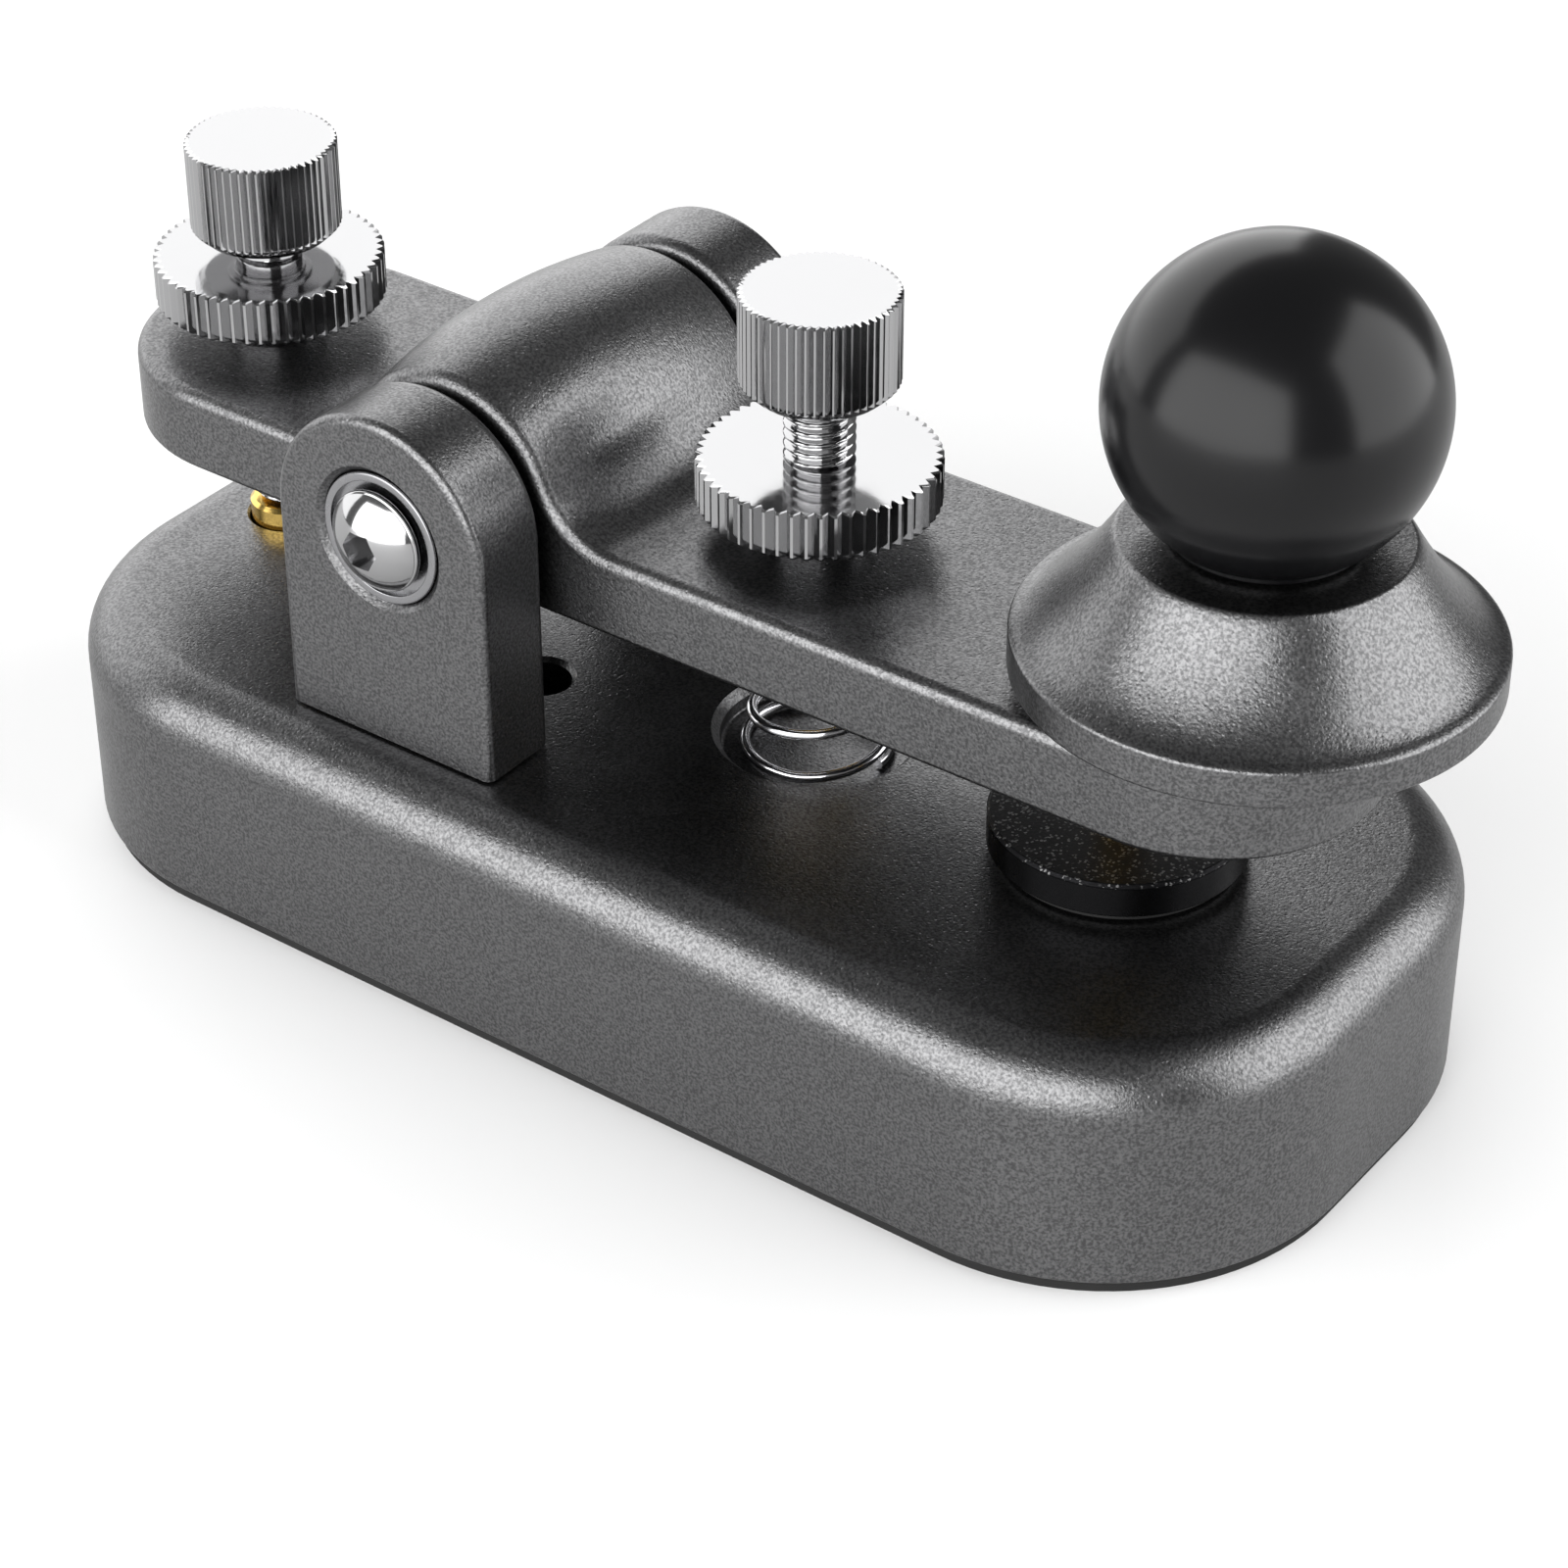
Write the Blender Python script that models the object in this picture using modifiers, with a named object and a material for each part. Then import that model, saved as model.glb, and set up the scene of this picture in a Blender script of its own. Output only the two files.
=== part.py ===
"""Straight Morse key with a ball knob: base, pivoted lever, contacts, adjusters and jack.

Frame: the origin is the centre of the base's footprint, on the surface it stands on.
+X runs along the lever towards the knob, +Y across it, +Z up. Dimensions are in millimetres.
"""
import math

import bmesh
import bpy
from mathutils import Vector

MM = 0.001
GAP = 0.2                # clearance between pieces that touch on a real key
RUN = 0.15               # radial clearance of screws in their holes

# Base
BASE_LENGTH = 106.0
BASE_WIDTH = 49.2
BASE_CORNER = 19.3       # plan radius of the corners
BASE_BOTTOM = 1.0
FLOOR = 18.4             # top face of the base
SHOULDER = 4.2           # rounding between the top face and the sides
PAD_THICKNESS = 0.8
CAVITY_TOP = 12.4
CAVITY_REAR = -49.0
CAVITY_FRONT = 40.0
CAVITY_WIDTH = 24.0
PLATE_INSET = 4.0
REBATE = 1.9
PLATE_SCREWS = [(36.0, 15.5), (36.0, -15.5), (-36.0, 15.5), (-36.0, -15.5)]

# Pivot and its pillars
PIVOT_X = -16.8
PIVOT_Z = 35.1
PILLAR_HALF = 9.2        # half the pillar's length along X, and its top radius
PILLAR_INNER = 12.8
PILLAR_OUTER = 19.6
PILLAR_SCREW_PITCH = 10.0
PILLAR_SCREW_Y = 16.2
BEARING_OUTER = 5.0
BEARING_BORE = 2.1
BEARING_WIDTH = 4.0
BEARING_Y = 15.4         # inner face of each bearing
LIP_RADIUS = 4.2

# Lever
LEVER_REAR = -53.4
LEVER_FRONT = 50.0
LEVER_WIDTH = 24.0
LEVER_BOTTOM = 28.6
LEVER_TOP = 34.9
LEVER_EDGE = 1.0
HUB_HALF = 12.2          # half the width of the barrel round the pivot
HUB_END_RADIUS = 9.1
HUB_MID_RADIUS = 10.4
HUB_FILLET = 6.0

# Adjusting screws and lock nuts, M5
TENSION_X = 6.3
GAP_X = -43.9
STUD_RADIUS = 2.5
HEAD_RADIUS = 5.56
HEAD_HEIGHT = 7.3
HEAD_TEETH = 30
TENSION_HEAD_Z = 46.0
GAP_HEAD_Z = 42.5
NUT_RADIUS = 8.52
NUT_TEETH = 36
NUT_BOTTOM = 37.2
NUT_TOP = 40.8
COLLAR_RADIUS = 3.8
STOP_TOP = 20.0

# Spring
SPRING_WIRE = 0.4        # wire radius
POCKET_RADIUS = 7.0
POCKET_DEPTH = 1.6
SPRING_BOTTOM_RADIUS = 5.2
SPRING_TOP_RADIUS = 3.7
SPRING_TOP = 25.2

# Contacts
CONTACT_X = 31.5
ANVIL_RADIUS = 9.0
ANVIL_TOP = 21.8
CONTACT_TOP = 22.3
CONTACT_GAP = 0.8

# Knob
KNOB_X = 41.1
DISC_RADIUS = 16.13
DISC_BOTTOM = 36.95
DISC_EDGE_TOP = 39.6
RIM_RADIUS = 9.87
RIM_TOP = 46.85
BALL_RADIUS = 11.0
BALL_Z = 56.2

# Jack
JACK_Z = 7.5
JACK_BORE = 1.85
JACK_NOSE = 2.9
JACK_BODY = 4.0
JACK_INNER_END = -38.0

SMOOTH_ANGLE = math.radians(35)


# ---------------------------------------------------------------- scene and materials

def clear_scene():
    for obj in list(bpy.data.objects):
        bpy.data.objects.remove(obj, do_unlink=True)


def new_collection(name):
    collection = bpy.data.collections.new(name)
    bpy.context.scene.collection.children.link(collection)
    return collection


def new_material(name, colour, roughness, metallic):
    material = bpy.data.materials.new(name)
    material.use_nodes = True
    shader = material.node_tree.nodes["Principled BSDF"]
    shader.inputs["Base Color"].default_value = (*colour, 1.0)
    shader.inputs["Roughness"].default_value = roughness
    shader.inputs["Metallic"].default_value = metallic
    material.diffuse_color = (*colour, 1.0)
    return material


clear_scene()
PARTS = new_collection("morse_key")
CUTTERS = new_collection("cutters")
GUNMETAL = new_material("gunmetal_anodised", (0.10, 0.10, 0.105), 0.42, 0.9)
BLACK_ANODISED = new_material("black_anodised", (0.02, 0.02, 0.022), 0.45, 0.8)
STEEL = new_material("polished_steel", (0.80, 0.80, 0.82), 0.12, 1.0)
SPRING_STEEL = new_material("spring_steel", (0.62, 0.62, 0.65), 0.2, 1.0)
BRASS = new_material("brass", (0.80, 0.56, 0.20), 0.22, 1.0)
PHENOLIC = new_material("black_gloss_plastic", (0.006, 0.006, 0.007), 0.12, 0.0)
BLACK_PLASTIC = new_material("black_matt_plastic", (0.015, 0.015, 0.016), 0.5, 0.0)
RUBBER = new_material("black_rubber", (0.012, 0.012, 0.012), 0.85, 0.0)
NYLON = new_material("white_nylon", (0.75, 0.74, 0.70), 0.5, 0.0)
RED_PVC = new_material("red_wire", (0.45, 0.03, 0.03), 0.45, 0.0)
BLACK_PVC = new_material("black_wire", (0.02, 0.02, 0.02), 0.45, 0.0)


# ---------------------------------------------------------------- modelling helpers

def new_empty(name, at, parent=None):
    empty = bpy.data.objects.new(name, None)
    empty.empty_display_size = 0.01
    PARTS.objects.link(empty)
    place(empty, at, parent)
    return empty


def origin_of(obj):
    """World position of an unrotated parent empty."""
    position = Vector((0.0, 0.0, 0.0))
    while obj is not None:
        position += obj.location
        obj = obj.parent
    return position


def place(obj, at, parent=None, rotation=(0.0, 0.0, 0.0)):
    """Put an object at a world position in millimetres, under an optional parent."""
    obj.parent = parent
    obj.location = Vector(at) * MM - origin_of(parent)
    obj.rotation_euler = [math.radians(angle) for angle in rotation]
    return obj


def finish(obj, material, smooth=True):
    obj.data.materials.clear()
    obj.data.materials.append(material)
    if smooth:
        obj.data.shade_smooth()
        obj.data.set_sharp_from_angle(angle=SMOOTH_ANGLE)
    PARTS.objects.link(obj)
    return obj


def hide_as_cutter(obj):
    obj.hide_render = True
    obj.display_type = "WIRE"
    if obj.name not in CUTTERS.objects:
        CUTTERS.objects.link(obj)
    return obj


def combine(obj, tool, operation="DIFFERENCE"):
    hide_as_cutter(tool)
    modifier = obj.modifiers.new(f"{operation.lower()}_{tool.name}", "BOOLEAN")
    modifier.operation = operation
    modifier.object = tool
    modifier.solver = "EXACT"
    return obj


def turned(name, profile, segments=32, closed=False):
    """Solid of revolution about Z from (radius, height) points, top to bottom outside."""
    mesh = bpy.data.meshes.new(name)
    bm = bmesh.new()
    verts = [bm.verts.new((radius * MM, 0.0, height * MM)) for radius, height in profile]
    for first, second in zip(verts, verts[1:]):
        bm.edges.new((first, second))
    if closed:
        bm.edges.new((verts[-1], verts[0]))
    bm.to_mesh(mesh)
    bm.free()
    obj = bpy.data.objects.new(name, mesh)
    screw = obj.modifiers.new("turn", "SCREW")
    screw.axis = "Z"
    screw.angle = math.tau
    screw.steps = segments
    screw.render_steps = segments
    screw.use_merge_vertices = True
    screw.merge_threshold = 0.000001
    screw.use_smooth_shade = True
    return obj


def disc(name, radius, bottom, top, segments=32, chamfer=0.0):
    """Plain round bar, with an optional chamfer at both ends."""
    profile = [(0.0, top), (radius - chamfer, top)]
    if chamfer > 0.0:
        profile += [(radius, top - chamfer), (radius, bottom + chamfer)]
    profile += [(radius if chamfer == 0.0 else radius - chamfer, bottom), (0.0, bottom)]
    return turned(name, profile, segments)


def ring(name, inner, outer, bottom, top, segments=32):
    profile = [(inner, top), (outer, top), (outer, bottom), (inner, bottom)]
    return turned(name, profile, segments, closed=True)


def outline_to_mesh(name, loops, thickness):
    """Flat outlines (the first outside, the rest holes) extruded both ways about z = 0."""
    curve = bpy.data.curves.new(name, "CURVE")
    curve.dimensions = "2D"
    curve.fill_mode = "BOTH"
    curve.extrude = thickness * MM / 2
    for loop in loops:
        spline = curve.splines.new("POLY")
        spline.points.add(len(loop) - 1)
        for point, (x, y) in zip(spline.points, loop):
            point.co = (x * MM, y * MM, 0.0, 1.0)
        spline.use_cyclic_u = True
    return mesh_from_curve(name, curve)


def mesh_from_curve(name, curve):
    """Turn a curve into a welded mesh object with flat faces merged."""
    source = bpy.data.objects.new(name + "_curve", curve)
    CUTTERS.objects.link(source)
    bpy.context.view_layer.update()
    graph = bpy.context.evaluated_depsgraph_get()
    mesh = bpy.data.meshes.new_from_object(source.evaluated_get(graph))
    bm = bmesh.new()
    bm.from_mesh(mesh)
    bmesh.ops.remove_doubles(bm, verts=bm.verts, dist=0.000001)
    bmesh.ops.dissolve_limit(bm, angle_limit=0.001, verts=bm.verts, edges=bm.edges)
    bmesh.ops.recalc_face_normals(bm, faces=bm.faces)
    bm.to_mesh(mesh)
    bm.free()
    mesh.name = name
    obj = bpy.data.objects.new(name, mesh)
    bpy.data.objects.remove(source, do_unlink=True)
    return obj


def round_edges(obj, side, radius, segments):
    """Round the rim of a slab's upper (side 1) or lower (side -1) face."""
    bm = bmesh.new()
    bm.from_mesh(obj.data)
    level = max(vert.co.z * side for vert in bm.verts)
    rim = [edge for edge in bm.edges
           if all(abs(vert.co.z * side - level) < 0.000001 for vert in edge.verts)]
    bmesh.ops.bevel(bm, geom=rim, offset=radius * MM, segments=segments, profile=0.5,
                    affect="EDGES", clamp_overlap=False)
    bm.to_mesh(obj.data)
    bm.free()
    return obj


def slab(name, loops, bottom, top, top_round=0.0, bottom_round=0.0, segments=2):
    """Extruded outline whose upper and lower rims can be rounded; its origin is midway."""
    obj = outline_to_mesh(name, loops, top - bottom)
    if top_round > 0.0:
        round_edges(obj, 1, top_round, segments)
    if bottom_round > 0.0:
        round_edges(obj, -1, bottom_round, segments)
    obj.location.z = (bottom + top) / 2 * MM
    return obj


def box(name, low, high):
    """Axis-aligned block between two corners, with its origin at its centre."""
    mesh = bpy.data.meshes.new(name)
    bm = bmesh.new()
    size = [(b - a) * MM for a, b in zip(low, high)]
    bmesh.ops.create_cube(bm, size=1.0)
    bmesh.ops.scale(bm, vec=size, verts=bm.verts)
    bm.to_mesh(mesh)
    bm.free()
    obj = bpy.data.objects.new(name, mesh)
    obj.location = [(a + b) / 2 * MM for a, b in zip(low, high)]
    return obj


def arc(centre, radius, start, end, steps):
    """Points on an arc, angles in degrees."""
    angles = [math.radians(start + (end - start) * i / steps) for i in range(steps + 1)]
    return [(centre[0] + radius * math.cos(a), centre[1] + radius * math.sin(a)) for a in angles]


def rounded_rectangle(length, width, radius, steps=10, centre=(0.0, 0.0)):
    points = []
    dx = length / 2 - radius
    dy = width / 2 - radius
    for sx, sy, start in ((1, 1, 0), (-1, 1, 90), (-1, -1, 180), (1, -1, 270)):
        corner = (centre[0] + sx * dx, centre[1] + sy * dy)
        points += arc(corner, radius, start, start + 90, steps)
    distinct = []
    for point in points:
        if not distinct or math.dist(point, distinct[-1]) > 0.001:
            distinct.append(point)
    return distinct


def circle(radius, steps=32, centre=(0.0, 0.0)):
    return arc(centre, radius, 0.0, 360.0 - 360.0 / steps, steps - 1)


def toothed(radius, teeth, depth):
    """Outline of a knurled edge with pointed teeth."""
    points = []
    for i in range(2 * teeth):
        reach = radius if i % 2 == 0 else radius - depth
        angle = math.pi * i / teeth
        points.append((reach * math.cos(angle), reach * math.sin(angle)))
    return points


def hexagon(across_flats):
    return circle(across_flats / math.sqrt(3), 6)


def tube(name, points, radius):
    """Round wire through a list of points, as a welded closed mesh."""
    curve = bpy.data.curves.new(name, "CURVE")
    curve.dimensions = "3D"
    curve.bevel_depth = radius * MM
    curve.bevel_resolution = 2
    curve.use_fill_caps = True
    spline = curve.splines.new("POLY")
    spline.points.add(len(points) - 1)
    for point, position in zip(spline.points, points):
        point.co = (*[value * MM for value in position], 1.0)
    return mesh_from_curve(name, curve)


def smooth_route(corners, steps=5):
    """Catmull-Rom points through the corners of a wire's route."""
    route = [Vector(point) for point in [corners[0], *corners, corners[-1]]]
    points = []
    for a, b, c, d in zip(route, route[1:], route[2:], route[3:]):
        for i in range(steps):
            t = i / steps
            points.append(0.5 * (2 * b + (c - a) * t + (2 * a - 5 * b + 4 * c - d) * t ** 2
                                 + (3 * b - a - 3 * c + d) * t ** 3))
    points.append(route[-2])
    return points


# ---------------------------------------------------------------- base

def make_base_body():
    body = slab("base_body", [rounded_rectangle(BASE_LENGTH, BASE_WIDTH, BASE_CORNER, 8)],
                BASE_BOTTOM, FLOOR, SHOULDER, 0.0, 4)
    length = BASE_LENGTH - 2 * PLATE_INSET
    width = BASE_WIDTH - 2 * PLATE_INSET
    rebate = slab("rebate_cut", [rounded_rectangle(length, width, BASE_CORNER - PLATE_INSET, 6)],
                  BASE_BOTTOM - 1.0, BASE_BOTTOM + REBATE)
    combine(body, rebate)
    cavity = slab("cavity_cut",
                  [rounded_rectangle(CAVITY_FRONT - CAVITY_REAR, CAVITY_WIDTH, 5.0, 4,
                                     ((CAVITY_FRONT + CAVITY_REAR) / 2, 0.0))],
                  BASE_BOTTOM + REBATE - 0.5, CAVITY_TOP)
    combine(body, cavity)
    for index, (x, y) in enumerate(PLATE_SCREWS, 1):
        hole = disc(f"plate_screw_hole_{index}", 1.4, BASE_BOTTOM + REBATE - 0.5, 10.5, 12)
        combine(body, place(hole, (x, y, 0.0)))
    for index, (x, y) in enumerate(pillar_screw_places(), 1):
        hole = turned(f"pillar_screw_hole_{index}",
                      [(0.0, FLOOR + 1.0), (1.7, FLOOR + 1.0), (1.7, CAVITY_TOP),
                       (3.2, CAVITY_TOP), (3.2, BASE_BOTTOM + REBATE - 0.5),
                       (0.0, BASE_BOTTOM + REBATE - 0.5)], 12)
        combine(body, place(hole, (x, y, 0.0)))
    pocket = disc("spring_pocket_cut", POCKET_RADIUS, FLOOR - POCKET_DEPTH, FLOOR + 1.0)
    combine(body, place(pocket, (TENSION_X, 0.0, 0.0)))
    stop_hole = disc("stop_hole_cut", 3.0, 14.0, FLOOR + 1.0, 24)
    combine(body, place(stop_hole, (GAP_X, 0.0, 0.0)))
    anvil_hole = disc("anvil_hole_cut", 3.0, CAVITY_TOP - 1.0, FLOOR + 1.0, 20)
    combine(body, place(anvil_hole, (CONTACT_X, 0.0, 0.0)))
    wire_hole = disc("wire_hole_cut", 2.3, CAVITY_TOP - 1.0, FLOOR + 1.0, 20)
    combine(body, place(wire_hole, (PIVOT_X + 3.1, -6.6, 0.0)))
    ground_hole = disc("ground_hole_cut", 1.6, CAVITY_TOP - 1.0, 16.2, 12)
    combine(body, place(ground_hole, (-28.0, -8.0, 0.0)))
    jack_hole = turned("jack_hole_cut", [(0.0, 6.0), (4.6, 6.0), (4.6, 1.2), (3.1, 1.2),
                                         (3.1, -1.5), (0.0, -1.5)], 24)
    combine(body, place(jack_hole, (-50.0, 0.0, JACK_Z), None, (0.0, -90.0, 0.0)))
    finish(body, GUNMETAL)


def make_underside():
    pad = slab("rubber_pad", [rounded_rectangle(BASE_LENGTH - 1.0, BASE_WIDTH - 1.0,
                                                BASE_CORNER - 0.5, 10)], 0.0, PAD_THICKNESS)
    finish(pad, RUBBER)
    plate_bottom = BASE_BOTTOM + GAP
    plate_top = plate_bottom + 1.5
    holes = [circle(1.7, 12, centre) for centre in PLATE_SCREWS]
    outline = rounded_rectangle(BASE_LENGTH - 2 * PLATE_INSET - 2 * GAP,
                                BASE_WIDTH - 2 * PLATE_INSET - 2 * GAP,
                                BASE_CORNER - PLATE_INSET - GAP, 6)
    plate = slab("bottom_plate", [outline, *holes], plate_bottom, plate_top)
    for index, centre in enumerate(PLATE_SCREWS, 1):
        sink = turned(f"countersink_cut_{index}",
                      [(0.0, 0.1), (3.1, 0.1), (3.1, -0.1), (1.6, -1.45), (0.0, -1.45)], 12)
        place(sink, (*centre, plate_bottom), None, (180.0, 0.0, 0.0))
        combine(plate, sink)
    finish(plate, STEEL)
    for index, centre in enumerate(PLATE_SCREWS, 1):
        screw = turned(f"plate_screw_{index}",
                       [(0.0, 8.0), (1.0, 8.0), (1.25, 7.7), (1.25, 1.4), (2.7, 0.15),
                        (2.7, 0.0), (0.0, 0.0)], 12)
        cross = box(f"plate_screw_slot_{index}", (-1.9, -0.3, -0.3), (1.9, 0.3, 0.5))
        place(screw, (*centre, plate_bottom))
        place(cross, (*centre, plate_bottom + 0.1))
        combine(screw, cross)
        finish(screw, STEEL)


# ---------------------------------------------------------------- pillars and bearings

def pillar_screw_places():
    return [(PIVOT_X + dx * PILLAR_SCREW_PITCH / 2, dy * PILLAR_SCREW_Y)
            for dy in (-1, 1) for dx in (-1, 1)]


def make_pillar(name, side):
    """Arched upright bored for the pivot bearing, open to the outside."""
    foot = FLOOR + GAP - PIVOT_Z
    outline = [(-PILLAR_HALF, foot), (PILLAR_HALF, foot),
               *arc((0.0, 0.0), PILLAR_HALF, 0.0, 180.0, 16)]
    width = PILLAR_OUTER - PILLAR_INNER
    pillar = slab(name, [outline], -width / 2, width / 2, 0.7, 0.4, 2)
    middle = side * (PILLAR_OUTER + PILLAR_INNER) / 2
    place(pillar, (PIVOT_X, middle, PIVOT_Z), None, (90.0, 0.0, 90.0 * (1 + side)))
    seat = BEARING_Y - GAP
    bore = turned(f"{name}_bore_cut",
                  [(0.0, PILLAR_OUTER + 1.0), (BEARING_OUTER + 1.6, PILLAR_OUTER + 1.0),
                   (BEARING_OUTER + 0.1, PILLAR_OUTER - 0.5), (BEARING_OUTER + 0.1, seat),
                   (LIP_RADIUS, seat), (LIP_RADIUS, PILLAR_INNER - 1.0), (0.0, PILLAR_INNER - 1.0)], 24)
    place(bore, (PIVOT_X, 0.0, PIVOT_Z), None, (-side * 90.0, 0.0, 0.0))
    combine(pillar, bore)
    for index, dx in enumerate((-1, 1), 1):
        hole = disc(f"{name}_screw_hole_{index}", 1.65, FLOOR - 1.0, FLOOR + 7.5, 12)
        combine(pillar, place(hole, (PIVOT_X + dx * PILLAR_SCREW_PITCH / 2,
                                     side * PILLAR_SCREW_Y, 0.0)))
    finish(pillar, GUNMETAL)


def make_pillar_screws():
    for index, (x, y) in enumerate(pillar_screw_places(), 1):
        head_top = CAVITY_TOP - GAP
        screw = turned(f"pillar_screw_{index}",
                       [(0.0, FLOOR + 6.5), (1.2, FLOOR + 6.5), (1.5, FLOOR + 6.2),
                        (1.5, head_top), (2.75, head_top), (2.75, head_top - 3.0),
                        (0.0, head_top - 3.0)], 12)
        place(screw, (x, y, 0.0))
        socket = slab(f"pillar_screw_socket_{index}", [hexagon(2.5)],
                      head_top - 3.5, head_top - 1.5)
        socket.location.x = x * MM
        socket.location.y = y * MM
        combine(screw, socket)
        finish(screw, STEEL)


def make_bearing(label, side, pivot):
    """Shielded ball bearing as its outer race with shields and its inner race."""
    half = BEARING_WIDTH / 2
    centre = (PIVOT_X, side * (BEARING_Y + half), PIVOT_Z)
    shield = 3.25
    race = 4.2
    outer = turned(f"bearing_outer_{label}",
                   [(shield, half), (BEARING_OUTER - 0.15, half), (BEARING_OUTER, half - 0.15),
                    (BEARING_OUTER, 0.15 - half), (BEARING_OUTER - 0.15, -half),
                    (shield, -half), (shield, 0.35 - half), (race, 0.35 - half),
                    (race, half - 0.35), (shield, half - 0.35)], 22, closed=True)
    finish(place(outer, centre, None, (90.0, 0.0, 0.0)), STEEL)
    inner = ring(f"bearing_inner_{label}", BEARING_BORE, 3.05, -half, half, 18)
    finish(place(inner, centre, pivot, (90.0, 0.0, 0.0)), STEEL)


# ---------------------------------------------------------------- contacts in the base

def make_contacts():
    anvil = turned("anvil", [(2.35, ANVIL_TOP), (ANVIL_RADIUS - 0.25, ANVIL_TOP),
                             (ANVIL_RADIUS, ANVIL_TOP - 0.25), (ANVIL_RADIUS, 19.25),
                             (1.7, 19.25), (1.7, 21.0), (2.35, 21.0)], 28, closed=True)
    finish(place(anvil, (CONTACT_X, 0.0, 0.0)), BLACK_ANODISED)
    washer = ring("anvil_washer", 1.7, 8.4, FLOOR + GAP, 19.05, 24)
    finish(place(washer, (CONTACT_X, 0.0, 0.0)), BLACK_PLASTIC)
    bush = turned("anvil_bush", [(1.7, 18.5), (2.8, 18.5), (2.8, 12.2), (4.2, 12.2),
                                 (4.2, 11.9), (1.7, 11.9)], 16, closed=True)
    finish(place(bush, (CONTACT_X, 0.0, 0.0)), NYLON)
    contact = turned("anvil_contact", [(0.0, CONTACT_TOP), (1.7, CONTACT_TOP),
                                       (2.1, CONTACT_TOP - 0.25), (2.1, 21.2), (1.5, 21.2),
                                       (1.5, 7.9), (1.2, 7.6), (0.0, 7.6)], 16)
    finish(place(contact, (CONTACT_X, 0.0, 0.0)), BRASS)
    tag = slab("signal_tag", [rounded_rectangle(9.5, 6.0, 2.9, 5, (-1.75, 0.0)), circle(1.7, 16)],
               11.2, 11.7)
    finish(place(tag, (CONTACT_X, 0.0, 11.45)), BRASS)
    nut = slab("anvil_nut", [hexagon(5.5), circle(1.65, 16)], 8.8, 11.0)
    finish(place(nut, (CONTACT_X, 0.0, 9.9)), STEEL)
    stop = turned("gap_stop", [(0.0, STOP_TOP), (2.6, STOP_TOP), (2.85, STOP_TOP - 0.25),
                               (2.85, 14.4), (2.65, 14.2), (0.0, 14.2)], 24)
    finish(place(stop, (GAP_X, 0.0, 0.0)), BRASS)


def make_spring():
    """Conical compression spring with one closed coil at each end."""
    turns = 4.0
    per_turn = 11
    start_z = FLOOR - POCKET_DEPTH + SPRING_WIRE + 0.1
    points = []
    for i in range(int(turns * per_turn) + 1):
        turn = i / per_turn
        rise = min(max((turn - 0.8) / (turns - 1.6), 0.0), 1.0)
        radius = SPRING_BOTTOM_RADIUS + (SPRING_TOP_RADIUS - SPRING_BOTTOM_RADIUS) * rise
        height = start_z + (SPRING_TOP - start_z) * (0.9 * rise + 0.1 * turn / turns)
        angle = math.tau * turn
        points.append((radius * math.cos(angle), radius * math.sin(angle), height))
    spring = tube("return_spring", points, SPRING_WIRE)
    finish(place(spring, (TENSION_X, 0.0, 0.0)), SPRING_STEEL)


# ---------------------------------------------------------------- jack and wiring

def make_jack():
    """Panel jack along X: its nose passes through the rear wall into a sunk ring nut."""
    sideways = (0.0, -90.0, 0.0)
    body = turned("jack_body", [(JACK_BORE, 14.9), (JACK_NOSE, 14.9), (JACK_NOSE, 10.8),
                                (JACK_BODY, 10.8), (JACK_BODY, 0.0), (0.0, 0.0),
                                (0.0, 1.5), (JACK_BORE, 1.5)], 24, closed=True)
    place(body, (JACK_INNER_END, 0.0, JACK_Z), None, sideways)
    finish(body, BLACK_PLASTIC)
    nut = ring("jack_nut", JACK_NOSE + RUN, 4.3, 13.4, 14.8, 24)
    finish(place(nut, (JACK_INNER_END, 0.0, JACK_Z), None, sideways), STEEL)
    for label, side in (("tip", 1), ("sleeve", -1)):
        lug = box(f"jack_{label}_lug", (-37.7, side * 2.2 - 0.9, 7.3),
                  (-33.7, side * 2.2 + 0.9, 7.7))
        finish(lug, BRASS, False)
    ground_screw = turned("ground_screw", [(0.0, 15.8), (1.25, 15.8), (1.5, 15.5), (1.5, 11.6),
                                           (2.7, 11.6), (2.7, 10.2), (2.2, 9.7), (0.0, 9.7)], 16)
    slot = box("ground_screw_slot", (-30.0, -8.3, 9.2), (-26.0, -7.7, 10.3))
    combine(place(ground_screw, (-28.0, -8.0, 0.0)), slot)
    finish(ground_screw, STEEL)
    tag = slab("ground_tag", [rounded_rectangle(9.0, 5.4, 2.6, 5, (1.8, 0.0)), circle(1.7, 16)],
               11.8, 12.2)
    finish(place(tag, (-28.0, -8.0, 12.0)), BRASS)


def make_wires():
    wire = 0.55
    signal = smooth_route([(-33.3, 2.2, 7.5), (-29.0, 4.0, 7.6), (-24.0, 9.4, 9.5),
                           (0.0, 10.6, 10.6), (18.0, 9.8, 10.4), (23.0, 4.0, 10.5),
                           (27.0, 0.6, 10.3)])
    finish(tube("signal_wire", signal, wire), RED_PVC)
    ground = smooth_route([(-33.3, -2.2, 7.5), (-30.5, -1.2, 8.2), (-27.0, -1.6, 10.2),
                           (-22.9, -3.6, 11.4), (-21.7, -6.4, 11.5), (-22.6, -7.6, 11.0)], 4)
    finish(tube("ground_wire", ground, wire), BLACK_PVC)


# ---------------------------------------------------------------- lever

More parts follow.
